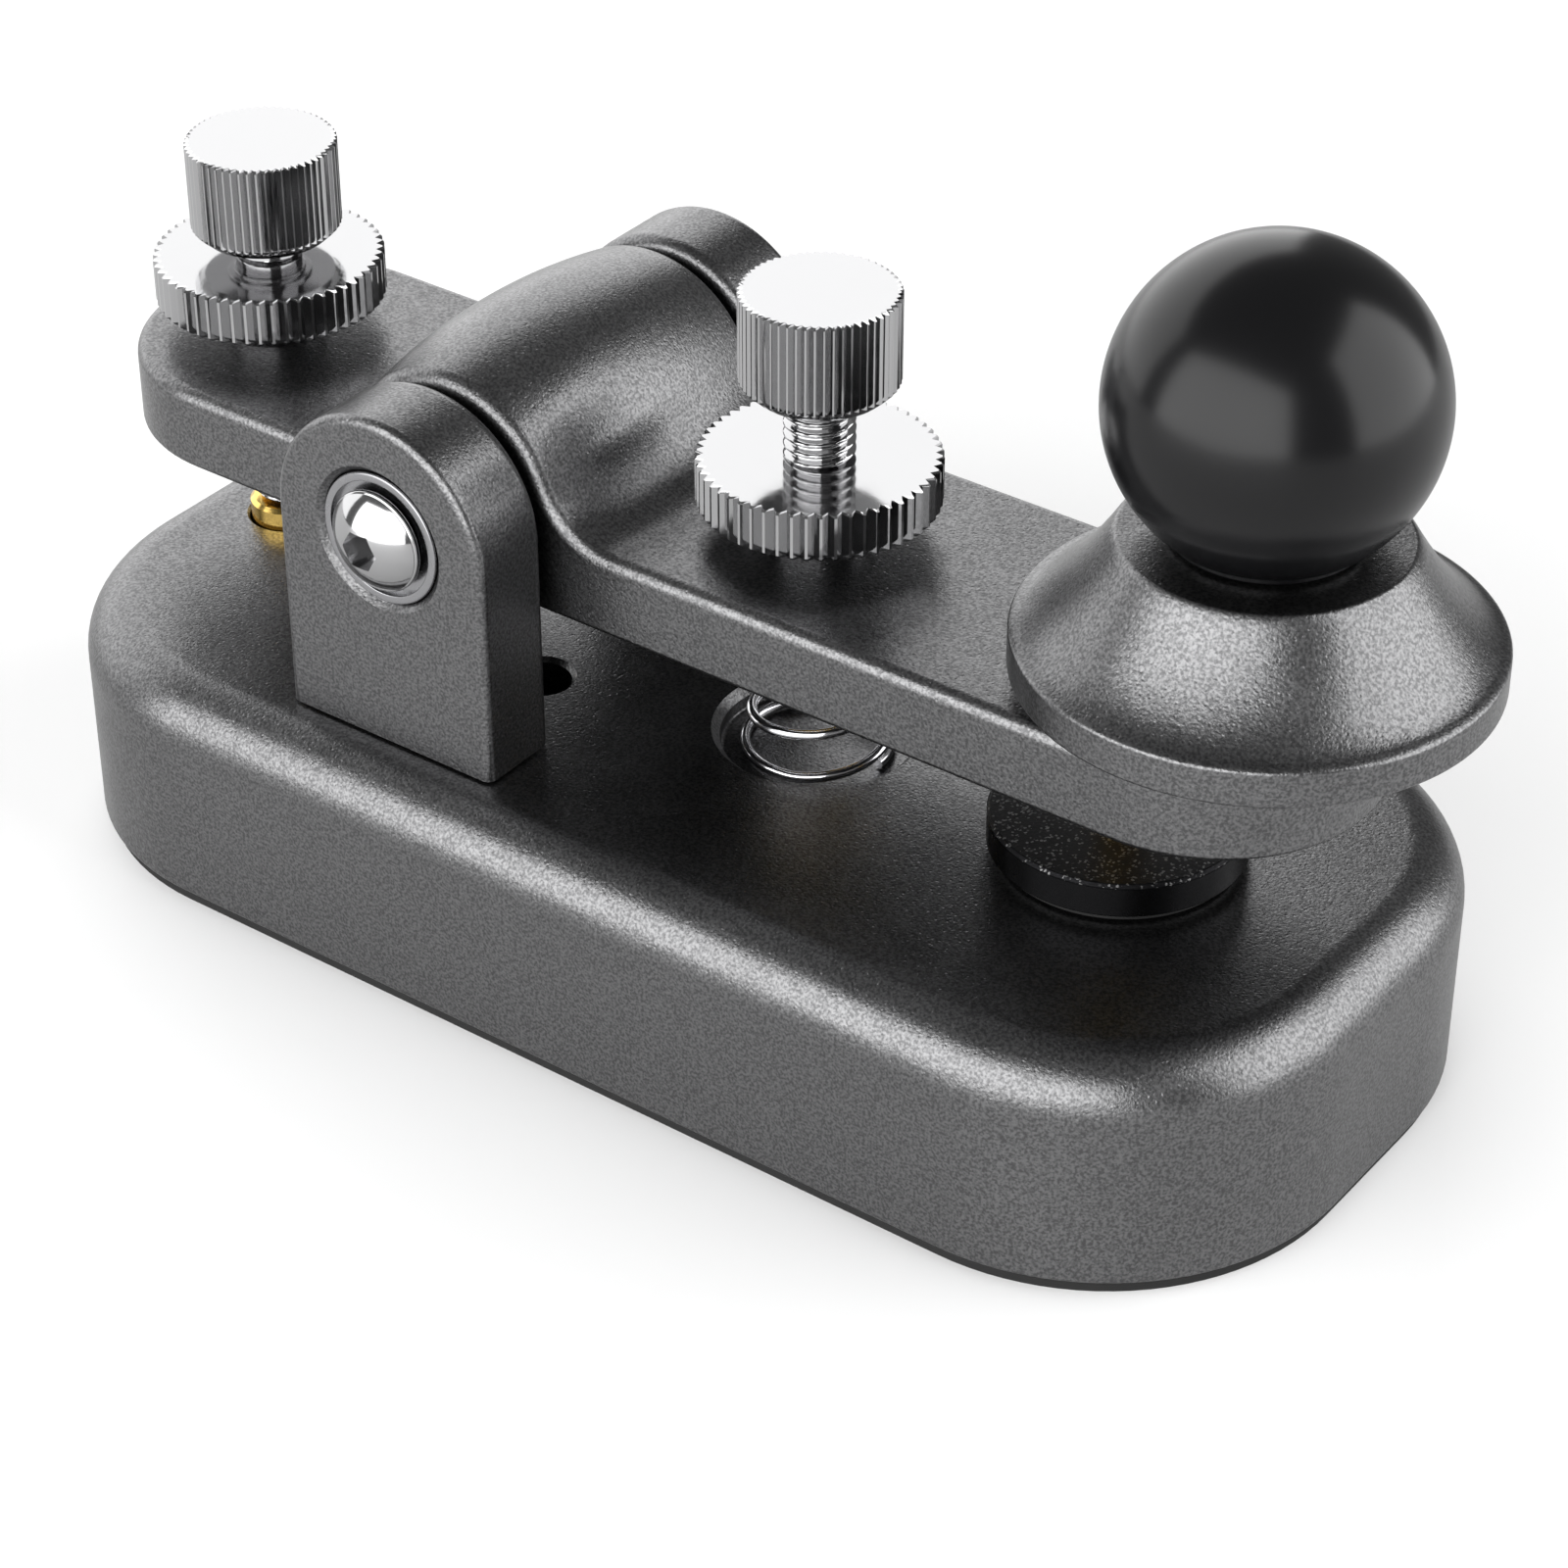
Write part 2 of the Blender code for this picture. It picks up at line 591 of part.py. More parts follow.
def hub_outline():
    """Side view of the two fillets that carry the lever's top up to the pivot barrel.

    Between the fillets the outline stays just inside the barrel, which is turned separately.
    """
    top = LEVER_TOP - PIVOT_Z
    reach = HUB_END_RADIUS + HUB_FILLET
    centre_z = top + HUB_FILLET
    centre_x = math.sqrt(reach ** 2 - centre_z ** 2)
    tangent = math.degrees(math.atan2(centre_z, centre_x))
    sunk = top - 1.0
    points = [(centre_x, sunk), (centre_x, top)]
    points += arc((centre_x, centre_z), HUB_FILLET, 270.0, 180.0 + tangent, 7)[1:]
    points += arc((0.0, 0.0), HUB_END_RADIUS - 0.5, tangent + 6.0, 174.0 - tangent, 12)
    points += arc((-centre_x, centre_z), HUB_FILLET, -tangent, -90.0, 7)[1:]
    points += [(-centre_x, sunk)]
    points += arc((0.0, 0.0), HUB_END_RADIUS - 0.5, 190.0, 350.0, 8)
    return points


def make_lever(pivot):
    length = LEVER_FRONT - LEVER_REAR
    middle = (LEVER_FRONT + LEVER_REAR) / 2
    arm = slab("lever_arm", [rounded_rectangle(length, LEVER_WIDTH, LEVER_WIDTH / 2, 9)],
               LEVER_BOTTOM, LEVER_TOP, LEVER_EDGE, 0.5, 2)
    for vert in arm.data.vertices:
        vert.co.x += (middle - PIVOT_X) * MM
        vert.co.z += ((LEVER_BOTTOM + LEVER_TOP) / 2 - PIVOT_Z) * MM
    pivot_at = (PIVOT_X, 0.0, PIVOT_Z)
    place(arm, pivot_at, pivot)
    hub = slab("hub_block", [hub_outline()], -HUB_HALF + GAP, HUB_HALF - GAP)
    combine(arm, place(hub, pivot_at, None, (90.0, 0.0, 0.0)), "UNION")
    steps = 8
    crown = []
    for i in range(steps + 1):
        y = HUB_HALF - 2 * HUB_HALF * i / steps
        bulge = 1.0 - (y / HUB_HALF) ** 2
        crown.append((HUB_END_RADIUS + (HUB_MID_RADIUS - HUB_END_RADIUS) * bulge, y))
    barrel = turned("hub_crown", [(0.0, HUB_HALF), *crown, (0.0, -HUB_HALF)], 30)
    combine(arm, place(barrel, pivot_at, None, (90.0, 0.0, 0.0)), "UNION")
    pivot_bore = disc("pivot_bore_cut", BEARING_BORE, -HUB_HALF - 1.0, HUB_HALF + 1.0, 24)
    combine(arm, place(pivot_bore, pivot_at, None, (90.0, 0.0, 0.0)))
    bore = STUD_RADIUS + RUN
    for label, x in (("tension", TENSION_X), ("gap", GAP_X), ("knob", KNOB_X)):
        hole = disc(f"{label}_hole_cut", bore, LEVER_BOTTOM - 1.0, LEVER_TOP + 1.0, 24)
        combine(arm, place(hole, (x, 0.0, 0.0)))
    pin_hole = disc("contact_hole_cut", 1.75, LEVER_BOTTOM - 1.0, 33.4, 16)
    combine(arm, place(pin_hole, (CONTACT_X, 0.0, 0.0)))
    finish(arm, GUNMETAL)


def make_pivot_screw(label, side, pivot):
    """Button-head screw through the bearing into the end of the lever's barrel."""
    seat = BEARING_Y + BEARING_WIDTH + GAP
    crown = [(0.0, 2.2)]
    for angle in (25.0, 47.0, 67.0, 90.0):
        reach = 3.8 * math.sin(math.radians(angle)) ** 0.9
        crown.append((reach, 0.35 + 1.85 * math.cos(math.radians(angle))))
    screw = turned(f"pivot_screw_{label}",
                   [*crown, (3.8, 0.0), (2.0, 0.0), (2.0, -11.5), (1.6, -12.0), (0.0, -12.0)], 20)
    socket = slab(f"pivot_socket_{label}", [hexagon(2.5)], 0.9, 3.0)
    at = (PIVOT_X, side * seat, PIVOT_Z)
    place(socket, (PIVOT_X, side * (seat + 1.95), PIVOT_Z), None, (-side * 90.0, 0.0, 0.0))
    combine(place(screw, at, pivot, (-side * 90.0, 0.0, 0.0)), socket)
    finish(screw, STEEL)
    spacer = ring(f"pivot_spacer_{label}", BEARING_BORE, 3.05, HUB_HALF + GAP, BEARING_Y - GAP, 18)
    finish(place(spacer, (PIVOT_X, 0.0, PIVOT_Z), pivot, (-side * 90.0, 0.0, 0.0)), STEEL)


def skirt_profile(steps=5):
    """Flared side of the finger disc, from the rim of its flat top down to its edge."""
    start = (RIM_RADIUS, RIM_TOP - 0.3)
    end = (DISC_RADIUS - 0.35, DISC_EDGE_TOP + 0.15)
    points = []
    for i in range(steps + 1):
        t = i / steps
        drop = 1.0 - (1.0 - t) ** 1.45
        points.append((start[0] + (end[0] - start[0]) * t, start[1] + (end[1] - start[1]) * drop))
    return points


def make_knob(pivot):
    at = (KNOB_X, 0.0, 0.0)
    bore = STUD_RADIUS + RUN
    profile = [(bore, RIM_TOP), (RIM_RADIUS - 0.3, RIM_TOP), *skirt_profile(),
               (DISC_RADIUS, DISC_EDGE_TOP - 0.2), (DISC_RADIUS, DISC_BOTTOM + 0.25),
               (DISC_RADIUS - 0.25, DISC_BOTTOM), (9.0, DISC_BOTTOM), (9.0, LEVER_TOP + GAP),
               (bore, LEVER_TOP + GAP)]
    finish(place(turned("finger_disc", profile, 32, closed=True), at, pivot), GUNMETAL)
    ball_bottom = RIM_TOP + GAP
    spread = math.acos((ball_bottom - BALL_Z) / BALL_RADIUS)
    steps = 12
    sphere = []
    for i in range(steps + 1):
        angle = spread * i / steps
        sphere.append((BALL_RADIUS * math.sin(angle), BALL_Z + BALL_RADIUS * math.cos(angle)))
    ball = turned("ball_knob", [*sphere, (bore, ball_bottom), (bore, BALL_Z - 1.7),
                                (0.0, BALL_Z - 1.7)], 28)
    finish(place(ball, at, pivot), PHENOLIC)
    stud = disc("knob_stud", STUD_RADIUS, LEVER_BOTTOM + 0.4, BALL_Z - 2.0, 20, 0.3)
    finish(place(stud, at, pivot), STEEL)
    tip = CONTACT_TOP + CONTACT_GAP
    pin = turned("contact_pin", [(0.0, 33.1), (1.6, 33.1), (1.6, tip + 0.3), (1.3, tip),
                                 (0.0, tip)], 20)
    finish(place(pin, (CONTACT_X, 0.0, 0.0), pivot), BRASS)


# ---------------------------------------------------------------- adjusting screws

def make_knurled_head(name, bottom, boss, axis):
    """Knurled screw head, bored from below for its stud, with an optional boss under it."""
    bore = STUD_RADIUS + 0.1
    half = HEAD_HEIGHT / 2
    head = slab(name, [toothed(HEAD_RADIUS, HEAD_TEETH, 0.3)], -half, half)
    world = origin_of(axis) / MM
    centre = (world.x, 0.0, bottom + half)
    place(head, centre, axis)
    if boss > 0.0:
        collar = ring(f"{name}_boss", 1.5, 3.5, -half - boss, 0.5, 24)
        combine(head, place(collar, centre), "UNION")
    hole = disc(f"{name}_hole_cut", bore, -half - boss - 1.0, 0.7, 24)
    combine(head, place(hole, centre))
    finish(head, STEEL)


def make_lock_nut(name, axis):
    """Knurled lock nut: a wide toothed flange standing on a narrower collar."""
    world = origin_of(axis) / MM
    middle = (NUT_BOTTOM + NUT_TOP) / 2
    half = (NUT_TOP - NUT_BOTTOM) / 2
    nut = slab(name, [toothed(NUT_RADIUS, NUT_TEETH, 0.4)], -half, half)
    collar = disc(f"{name}_collar", COLLAR_RADIUS, LEVER_TOP + GAP, NUT_BOTTOM + 0.5, 24)
    hole = disc(f"{name}_hole_cut", STUD_RADIUS + RUN, LEVER_TOP - 1.0, NUT_TOP + 1.0, 24)
    place(nut, (world.x, 0.0, middle), axis)
    combine(nut, place(collar, (world.x, 0.0, 0.0)), "UNION")
    combine(nut, place(hole, (world.x, 0.0, 0.0)))
    finish(nut, STEEL)


def make_adjuster(label, x, stud_bottom, head_bottom, boss, pivot):
    travel_axis = new_empty(f"{label}_travel_axis", (x, 0.0, LEVER_TOP), pivot)
    spin_axis = new_empty(f"{label}_spin_axis", (x, 0.0, head_bottom), travel_axis)
    nut_axis = new_empty(f"{label}_nut_axis", (x, 0.0, LEVER_TOP), pivot)
    stud_top = head_bottom + HEAD_HEIGHT / 2 + 0.5
    stud = disc(f"{label}_stud", STUD_RADIUS, stud_bottom, stud_top, 20, 0.3)
    finish(place(stud, (x, 0.0, 0.0), travel_axis), STEEL)
    make_knurled_head(f"{label}_knob", head_bottom, boss, spin_axis)
    make_lock_nut(f"{label}_lock_nut", nut_axis)
    return travel_axis


def make_spring_seat(travel_axis):
    """Spool under the tension stud that centres the top coil of the spring."""
    seat = turned("spring_seat", [(0.0, 27.3), (2.4, 27.3), (2.4, 26.9), (4.5, 26.9),
                                  (4.5, 25.8), (2.9, 25.8), (2.9, 24.6), (2.6, 24.3),
                                  (0.0, 24.3)], 24)
    finish(place(seat, (TENSION_X, 0.0, 0.0), travel_axis), BRASS)


def make_key():
    make_base_body()
    make_underside()
    make_pillar("pillar_near", -1)
    make_pillar("pillar_far", 1)
    make_pillar_screws()
    make_contacts()
    make_spring()
    make_jack()
    make_wires()
    pivot = new_empty("lever_pivot_axis", (PIVOT_X, 0.0, PIVOT_Z))
    make_lever(pivot)
    for label, side in (("near", -1), ("far", 1)):
        make_bearing(label, side, pivot)
        make_pivot_screw(label, side, pivot)
    make_knob(pivot)
    tension = make_adjuster("tension", TENSION_X, 27.5, TENSION_HEAD_Z, 0.0, pivot)
    make_adjuster("gap", GAP_X, STOP_TOP + 0.3, GAP_HEAD_Z, 0.5, pivot)
    make_spring_seat(tension)


make_key()
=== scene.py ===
"""Studio view of the straight Morse key: detailed pieces, materials, lights and camera."""

import math

import bmesh
import bpy
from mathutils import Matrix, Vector


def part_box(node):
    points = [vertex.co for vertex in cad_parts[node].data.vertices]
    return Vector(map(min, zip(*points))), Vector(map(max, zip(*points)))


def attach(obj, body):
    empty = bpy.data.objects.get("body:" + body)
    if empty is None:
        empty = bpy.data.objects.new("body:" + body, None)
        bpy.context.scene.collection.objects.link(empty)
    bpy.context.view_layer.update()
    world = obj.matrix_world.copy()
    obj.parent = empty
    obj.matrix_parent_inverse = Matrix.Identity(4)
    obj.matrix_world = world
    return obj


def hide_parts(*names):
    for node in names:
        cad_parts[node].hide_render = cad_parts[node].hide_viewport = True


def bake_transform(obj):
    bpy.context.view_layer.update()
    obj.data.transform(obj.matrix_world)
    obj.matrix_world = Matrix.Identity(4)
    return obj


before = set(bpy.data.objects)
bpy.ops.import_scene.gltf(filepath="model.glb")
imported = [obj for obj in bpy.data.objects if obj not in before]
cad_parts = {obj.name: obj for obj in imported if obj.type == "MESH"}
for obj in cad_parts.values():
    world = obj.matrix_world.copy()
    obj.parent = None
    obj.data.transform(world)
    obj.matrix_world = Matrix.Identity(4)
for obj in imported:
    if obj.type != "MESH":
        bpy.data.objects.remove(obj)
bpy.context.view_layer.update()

MM = 0.001
UP = (0.0, 0.0, 1.0)
NEAR = (0.0, -1.0, 0.0)
FAR = (0.0, 1.0, 0.0)
REAR = (-1.0, 0.0, 0.0)
SIDES = {"near": NEAR, "far": FAR}


def box_mm(node):
    """Lowest and highest corner of a CAD node, in millimetres."""
    low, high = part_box(node)
    return low / MM, high / MM


def centre_mm(node):
    low, high = box_mm(node)
    return (low + high) / 2


BASE_LOW, BASE_HIGH = box_mm("base_body")
FLOOR = BASE_HIGH.z
LEVER_LOW, LEVER_HIGH = box_mm("lever_arm")
PIVOT = centre_mm("bearing_inner_near")
PIVOT.y = 0.0
TENSION_X = centre_mm("tension_stud").x
GAP_X = centre_mm("gap_stud").x
CONTACT_X = centre_mm("anvil").x
KNOB_X = centre_mm("finger_disc").x

# Base, millimetres
BASE_CORNER = 19.3               # plan radius of the corners
SHOULDER = 4.2                   # rounding between the top face and the sides
POCKET_RADIUS = 7.0
POCKET_DEPTH = 1.6
HOLE_DEPTH = 9.0
STOP_HOLE_DEPTH = 4.4
WIRE_HOLE = (3.1, -6.6)          # from the pivot, along X and Y
JACK_RECESS = 1.95

# Pillars and pivot
LIP_RADIUS = 4.2                 # hole through the pillar's inner wall
RACE_CLEARANCE = 0.1
SEAT_CLEARANCE = 0.2
BUTTON_HEIGHT = 2.2
BUTTON_RIM = 0.35
SOCKET_SIZE = 2.6                # across the flats

# Lever
LEVER_HALF = 12.0
LEVER_BOTTOM = 28.6
LEVER_TOP = 34.9
LEVER_EDGE = 1.0
HUB_END_RADIUS = 9.1
HUB_MID_RADIUS = 10.4
HUB_FILLET = 6.0

# Finger disc and ball
DISC_RIM = 9.87                  # radius of the flat top
DISC_FLARE = 1.45
DISC_BAND_TOP = 39.6
DISC_BOTTOM = 36.95
DISC_FOOT = 9.0
BALL_FOOT = 6.4                  # radius of the short foot under the ball
STUD_BORE = 2.65

# Spring
SPRING_TURNS = 4.0
SPRING_WIRE_RADIUS = 0.4
SPRING_BOTTOM_RADIUS = 5.2
SPRING_TOP_RADIUS = 3.7
SPRING_TOP = 25.2
CLOSED_TURN = 0.8                # flat part of a turn at each end

# Adjusting screws
THREAD_PITCH = 0.8
THREAD_DEPTH = 0.42
HEAD_HEIGHT = 7.3
HEAD_TEETH = 56
NUT_BOTTOM = 37.2
NUT_TEETH = 54
COLLAR_RADIUS = 3.8
SHANK_PLAIN_FROM = 41.0          # the rear screw's shank is plain above this height

# Camera
CAMERA_AZIMUTH = 36.37           # degrees from -Y towards +X
CAMERA_ELEVATION = 34.68
CAMERA_DISTANCE = 0.30316        # metres
CAMERA_TARGET = (0.00330, 0.0, 0.01220)
CAMERA_LENS = 96.46


# ---------------------------------------------------------------- mesh tools

def mesh_object(name, points, faces):
    """Mesh object from points in millimetres, with its faces turned outwards."""
    mesh = bpy.data.meshes.new(name)
    mesh.from_pydata([Vector(point) * MM for point in points], [], faces)
    bm = bmesh.new()
    bm.from_mesh(mesh)
    bmesh.ops.recalc_face_normals(bm, faces=bm.faces)
    bm.to_mesh(mesh)
    bm.free()
    obj = bpy.data.objects.new(name, mesh)
    bpy.context.scene.collection.objects.link(obj)
    return obj


def facing(points, centre, axis):
    """Turn points made about +Z to another axis and move them to a centre."""
    turn = Vector(axis).to_track_quat("Z", "Y")
    return [turn @ Vector(point) + Vector(centre) for point in points]


def eased(points, steps=4, cyclic=False):
    """Round the corners of a profile; a corner is (radius, height) or (radius, height, ease)."""
    result = []
    count = len(points)
    for i, point in enumerate(points):
        here = Vector(point[:2])
        ease = point[2] if len(point) > 2 else 0.0
        if ease == 0.0 or (not cyclic and i in (0, count - 1)):
            result.append(tuple(here))
            continue
        before = Vector(points[i - 1][:2]) - here
        after = Vector(points[(i + 1) % count][:2]) - here
        start = here + before.normalized() * ease
        end = here + after.normalized() * ease
        for k in range(steps + 1):
            t = k / steps
            result.append(tuple(start.lerp(here, t).lerp(here.lerp(end, t), t)))
    return result


def turned(name, profile, centre, axis=UP, segments=128, ring=False):
    """Solid of revolution; a ring joins the last profile point back to the first."""
    points, rows, faces = [], [], []
    for radius, height in profile:
        if radius < 0.000001:
            rows.append([len(points)] * segments)
            points.append((0.0, 0.0, height))
            continue
        rows.append(list(range(len(points), len(points) + segments)))
        for i in range(segments):
            angle = math.tau * i / segments
            points.append((radius * math.cos(angle), radius * math.sin(angle), height))
    pairs = list(zip(rows, rows[1:]))
    if ring:
        pairs.append((rows[-1], rows[0]))
    for first, second in pairs:
        for i in range(segments):
            j = (i + 1) % segments
            face = list(dict.fromkeys([first[i], first[j], second[j], second[i]]))
            if len(face) > 2:
                faces.append(face)
    return mesh_object(name, facing(points, centre, axis), faces)


def loft(name, rings):
    """Closed skin through rings that have the same number of points."""
    points = [point for ring in rings for point in ring]
    size = len(rings[0])
    faces = [list(range(size)), list(range(len(points) - size, len(points)))]
    for k in range(len(rings) - 1):
        for i in range(size):
            j = (i + 1) % size
            faces.append([k * size + i, k * size + j, (k + 1) * size + j, (k + 1) * size + i])
    return mesh_object(name, points, faces)


def arc(centre, radius, start, end, steps):
    """Points on an arc, angles in degrees."""
    angles = [math.radians(start + (end - start) * i / steps) for i in range(steps + 1)]
    return [(centre[0] + radius * math.cos(a), centre[1] + radius * math.sin(a)) for a in angles]


def rounded_outline(low, high, corner, inset, steps=24):
    """Rounded rectangle between two corners, moved inwards by an inset."""
    radius = max(corner - inset, 0.01)
    points = []
    for x, y, start in ((high[0] - corner, high[1] - corner, 0), (low[0] + corner, high[1] - corner, 90),
                        (low[0] + corner, low[1] + corner, 180), (high[0] - corner, low[1] + corner, 270)):
        points += arc((x, y), radius, start, start + 90, steps)
    return points


def quarter(ease, steps=8):
    """(inset, drop) pairs of a rounded edge, from the side up to the face."""
    pairs = []
    for i in range(steps + 1):
        angle = math.pi / 2 * i / steps
        pairs.append((ease * (1 - math.cos(angle)), ease * (1 - math.sin(angle))))
    return pairs


def block(name, low, high, corner, top_ease, bottom_ease, steps=8):
    """Upright slab with rounded corners and rounded upper and lower edges."""
    levels = [(inset, low[2] + drop) for inset, drop in reversed(quarter(bottom_ease, 4))]
    levels += [(inset, high[2] - drop) for inset, drop in quarter(top_ease, steps)]
    rings = []
    for inset, z in levels:
        rings.append([(x, y, z) for x, y in rounded_outline(low, high, corner, inset)])
    return loft(name, rings)


def carve(obj, tools):
    """Cut tools out of an object and remove them."""
    for tool in tools:
        modifier = obj.modifiers.new(tool.name, "BOOLEAN")
        modifier.operation = "DIFFERENCE"
        modifier.solver = "EXACT"
        modifier.object = tool
    bpy.context.view_layer.update()
    graph = bpy.context.evaluated_depsgraph_get()
    mesh = bpy.data.meshes.new_from_object(obj.evaluated_get(graph))
    obj.modifiers.clear()
    obj.data = mesh
    for tool in tools:
        bpy.data.objects.remove(tool, do_unlink=True)
    return obj


def join(target, *others):
    """Add the meshes of other objects to the target and remove those objects."""
    bm = bmesh.new()
    bm.from_mesh(target.data)
    for other in others:
        bm.from_mesh(other.data)
        bpy.data.objects.remove(other, do_unlink=True)
    bm.to_mesh(target.data)
    bm.free()
    return target


def finish(obj, material, nodes=(), sharp=32.0):
    """Shade a piece, give it its material and let it stand for CAD nodes."""
    obj.data.materials.clear()
    obj.data.materials.append(material)
    obj.data.shade_smooth()
    obj.data.set_sharp_from_angle(angle=math.radians(sharp))
    weighted = obj.modifiers.new("weighted_normals", "WEIGHTED_NORMAL")
    weighted.keep_sharp = True
    if nodes:
        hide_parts(*nodes)
    return obj


def add(obj, body, material, slot, *nodes, sharp=32.0):
    """Finish a piece and let it ride on a body."""
    finish(obj, material, nodes, sharp)
    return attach(obj, body)


# ---------------------------------------------------------------- material tools

def new_material(name, colour, roughness, metallic=0.0, **sockets):
    """Material whose shader values are set directly on the Principled node."""
    material = bpy.data.materials.new(name)
    material.use_nodes = True
    shader = material.node_tree.nodes["Principled BSDF"]
    shader.inputs["Base Color"].default_value = (*colour, 1.0)
    shader.inputs["Roughness"].default_value = roughness
    shader.inputs["Metallic"].default_value = metallic
    for key, value in sockets.items():
        shader.inputs[key.replace("_", " ")].default_value = value
    return material


def shader_of(material):
    return material.node_tree.nodes["Principled BSDF"]


def add_node(material, kind, inputs, **settings):
    """Add a node; an input is a value or another node's output socket."""
    tree = material.node_tree
    node = tree.nodes.new(kind)
    for key, value in settings.items():
        setattr(node, key, value)
    for key, value in inputs.items():
        if isinstance(value, bpy.types.NodeSocket):
            tree.links.new(value, node.inputs[key])
        else:
            node.inputs[key].default_value = value
    return node


def place_coordinates(material):
    """Coordinates fixed to the piece, in metres."""
    return add_node(material, "ShaderNodeTexCoord", {}).outputs["Object"]


def noise(material, scale, detail=2.0, stretch=None):
    """Noise of about 1 / scale metres, optionally stretched along an axis."""
    vector = place_coordinates(material)
    if stretch is not None:
        mapping = add_node(material, "ShaderNodeMapping", {"Vector": vector, "Scale": stretch})
        vector = mapping.outputs["Vector"]
    inputs = {"Vector": vector, "Scale": scale, "Detail": detail}
    return add_node(material, "ShaderNodeTexNoise", inputs).outputs["Fac"]


def remap(material, value, low, high, new_low, new_high):
    inputs = {"Value": value, "From Min": low, "From Max": high, "To Min": new_low, "To Max": new_high}
    return add_node(material, "ShaderNodeMapRange", inputs).outputs["Result"]


def bump(material, height, distance, previous=None, strength=1.0):
    """Add a bump of the given depth in metres, on top of an earlier one."""
    inputs = {"Height": height, "Distance": distance, "Strength": strength}
    if previous is not None:
        inputs["Normal"] = previous
    return add_node(material, "ShaderNodeBump", inputs).outputs["Normal"]


def wear_roughness(material, scale, low, high):
    """Vary the roughness a little in soft patches."""
    value = remap(material, noise(material, scale, 3.0), 0.3, 0.7, low, high)
    material.node_tree.links.new(value, shader_of(material).inputs["Roughness"])


def tint(material, factor, dark, light):
    """Mix two colours by a factor into the base colour."""
    mix = material.node_tree.nodes.new("ShaderNodeMix")
    mix.data_type = "RGBA"
    mix.inputs[6].default_value = (*dark, 1.0)
    mix.inputs[7].default_value = (*light, 1.0)
    material.node_tree.links.new(factor, mix.inputs[0])
    material.node_tree.links.new(mix.outputs[2], shader_of(material).inputs["Base Color"])


def use_normal(material, normal):
    material.node_tree.links.new(normal, shader_of(material).inputs["Normal"])
    return material


# ---------------------------------------------------------------- materials

def blasted_metal(name, dark, light, rough_low, rough_high, depth):
    """Bead-blasted and anodised metal: fine pebbled grain with a few deeper pits."""
    material = new_material(name, light, rough_high, 1.0)
    tint(material, remap(material, noise(material, 4600.0, 3.0), 0.38, 0.62, 0.0, 1.0), dark, light)
    wear_roughness(material, 260.0, rough_low, rough_high)
    normal = bump(material, noise(material, 5200.0, 2.0), depth)
    cells = add_node(material, "ShaderNodeTexVoronoi",
                     {"Vector": place_coordinates(material), "Scale": 2400.0})
    pits = remap(material, cells.outputs["Distance"], 0.0, 0.3, 0.0, 1.0)
    normal = bump(material, pits, depth * 0.7, normal)
    return use_normal(material, normal)


def polished_metal(name, colour, rough_low, rough_high, depth, scale=2600.0):
    """Plated or polished metal with faint haze and handling marks."""
    material = new_material(name, colour, rough_low, 1.0)
    wear_roughness(material, 600.0, rough_low, rough_high)
    normal = bump(material, noise(material, scale, 3.0), depth)
    return use_normal(material, normal)


def lathed_metal(name, colour, rough_low, rough_high, depth):
    """Turned metal with fine rings left by the tool along the vertical axis."""
    material = new_material(name, colour, rough_low, 1.0)
    wear_roughness(material, 900.0, rough_low, rough_high)
    rings = noise(material, 1.0, 2.0, (120.0, 120.0, 9000.0))
    return use_normal(material, bump(material, rings, depth))


def soft_plastic(name, dark, light, roughness, grain, depth):
    """Moulded plastic or rubber with a fine grain."""
    material = new_material(name, light, roughness)
    tint(material, noise(material, 500.0, 3.0), dark, light)
    wear_roughness(material, 300.0, roughness - 0.05, roughness + 0.05)
    return use_normal(material, bump(material, noise(material, grain, 2.0), depth))


def glossy_ball():
    """Polished black plastic with hardly visible polishing waves."""
    material = new_material("ball_black", (0.004, 0.004, 0.0045), 0.23, IOR=1.38)
    wear_roughness(material, 120.0, 0.21, 0.25)
    return use_normal(material, bump(material, noise(material, 90.0, 1.0), 0.000002))


def sparkling_black():
    """Black anodised face with tiny bright grains."""
    material = new_material("anvil_black", (0.012, 0.012, 0.013), 0.42, 0.9)
    cells = add_node(material, "ShaderNodeTexVoronoi",
                     {"Vector": place_coordinates(material), "Scale": 6500.0})
    grains = remap(material, cells.outputs["Color"], 0.76, 0.84, 0.0, 1.0)
    tint(material, grains, (0.010, 0.010, 0.011), (0.20, 0.20, 0.20))
    normal = bump(material, noise(material, 5200.0, 2.0), 0.000022)
    return use_normal(material, normal)


GUNMETAL = blasted_metal("gunmetal_blasted", (0.105, 0.105, 0.107), (0.210, 0.210, 0.213), 0.29, 0.34,
                         0.000022)
CHROME = polished_metal("chrome", (0.45, 0.45, 0.455), 0.07, 0.12, 0.0000010)
SCREW_STEEL = polished_metal("screw_steel", (0.78, 0.78, 0.79), 0.10, 0.16, 0.0000012)
RACE_STEEL = lathed_metal("race_steel", (0.34, 0.34, 0.35), 0.22, 0.30, 0.000002)
INNER_RACE_STEEL = lathed_metal("inner_race_steel", (0.12, 0.12, 0.125), 0.25, 0.32, 0.000002)
SPRING_WIRE = polished_metal("spring_wire", (0.72, 0.72, 0.74), 0.10, 0.15, 0.000001, 4000.0)
BRASS = lathed_metal("brass_turned", (0.82, 0.56, 0.16), 0.13, 0.20, 0.0000015)
PLATE_METAL = polished_metal("plate_zinc", (0.55, 0.55, 0.56), 0.25, 0.35, 0.000003)
BALL_BLACK = glossy_ball()
ANVIL_BLACK = sparkling_black()
ANVIL_SIDE = polished_metal("anvil_side_black", (0.022, 0.022, 0.023), 0.24, 0.30, 0.000002)
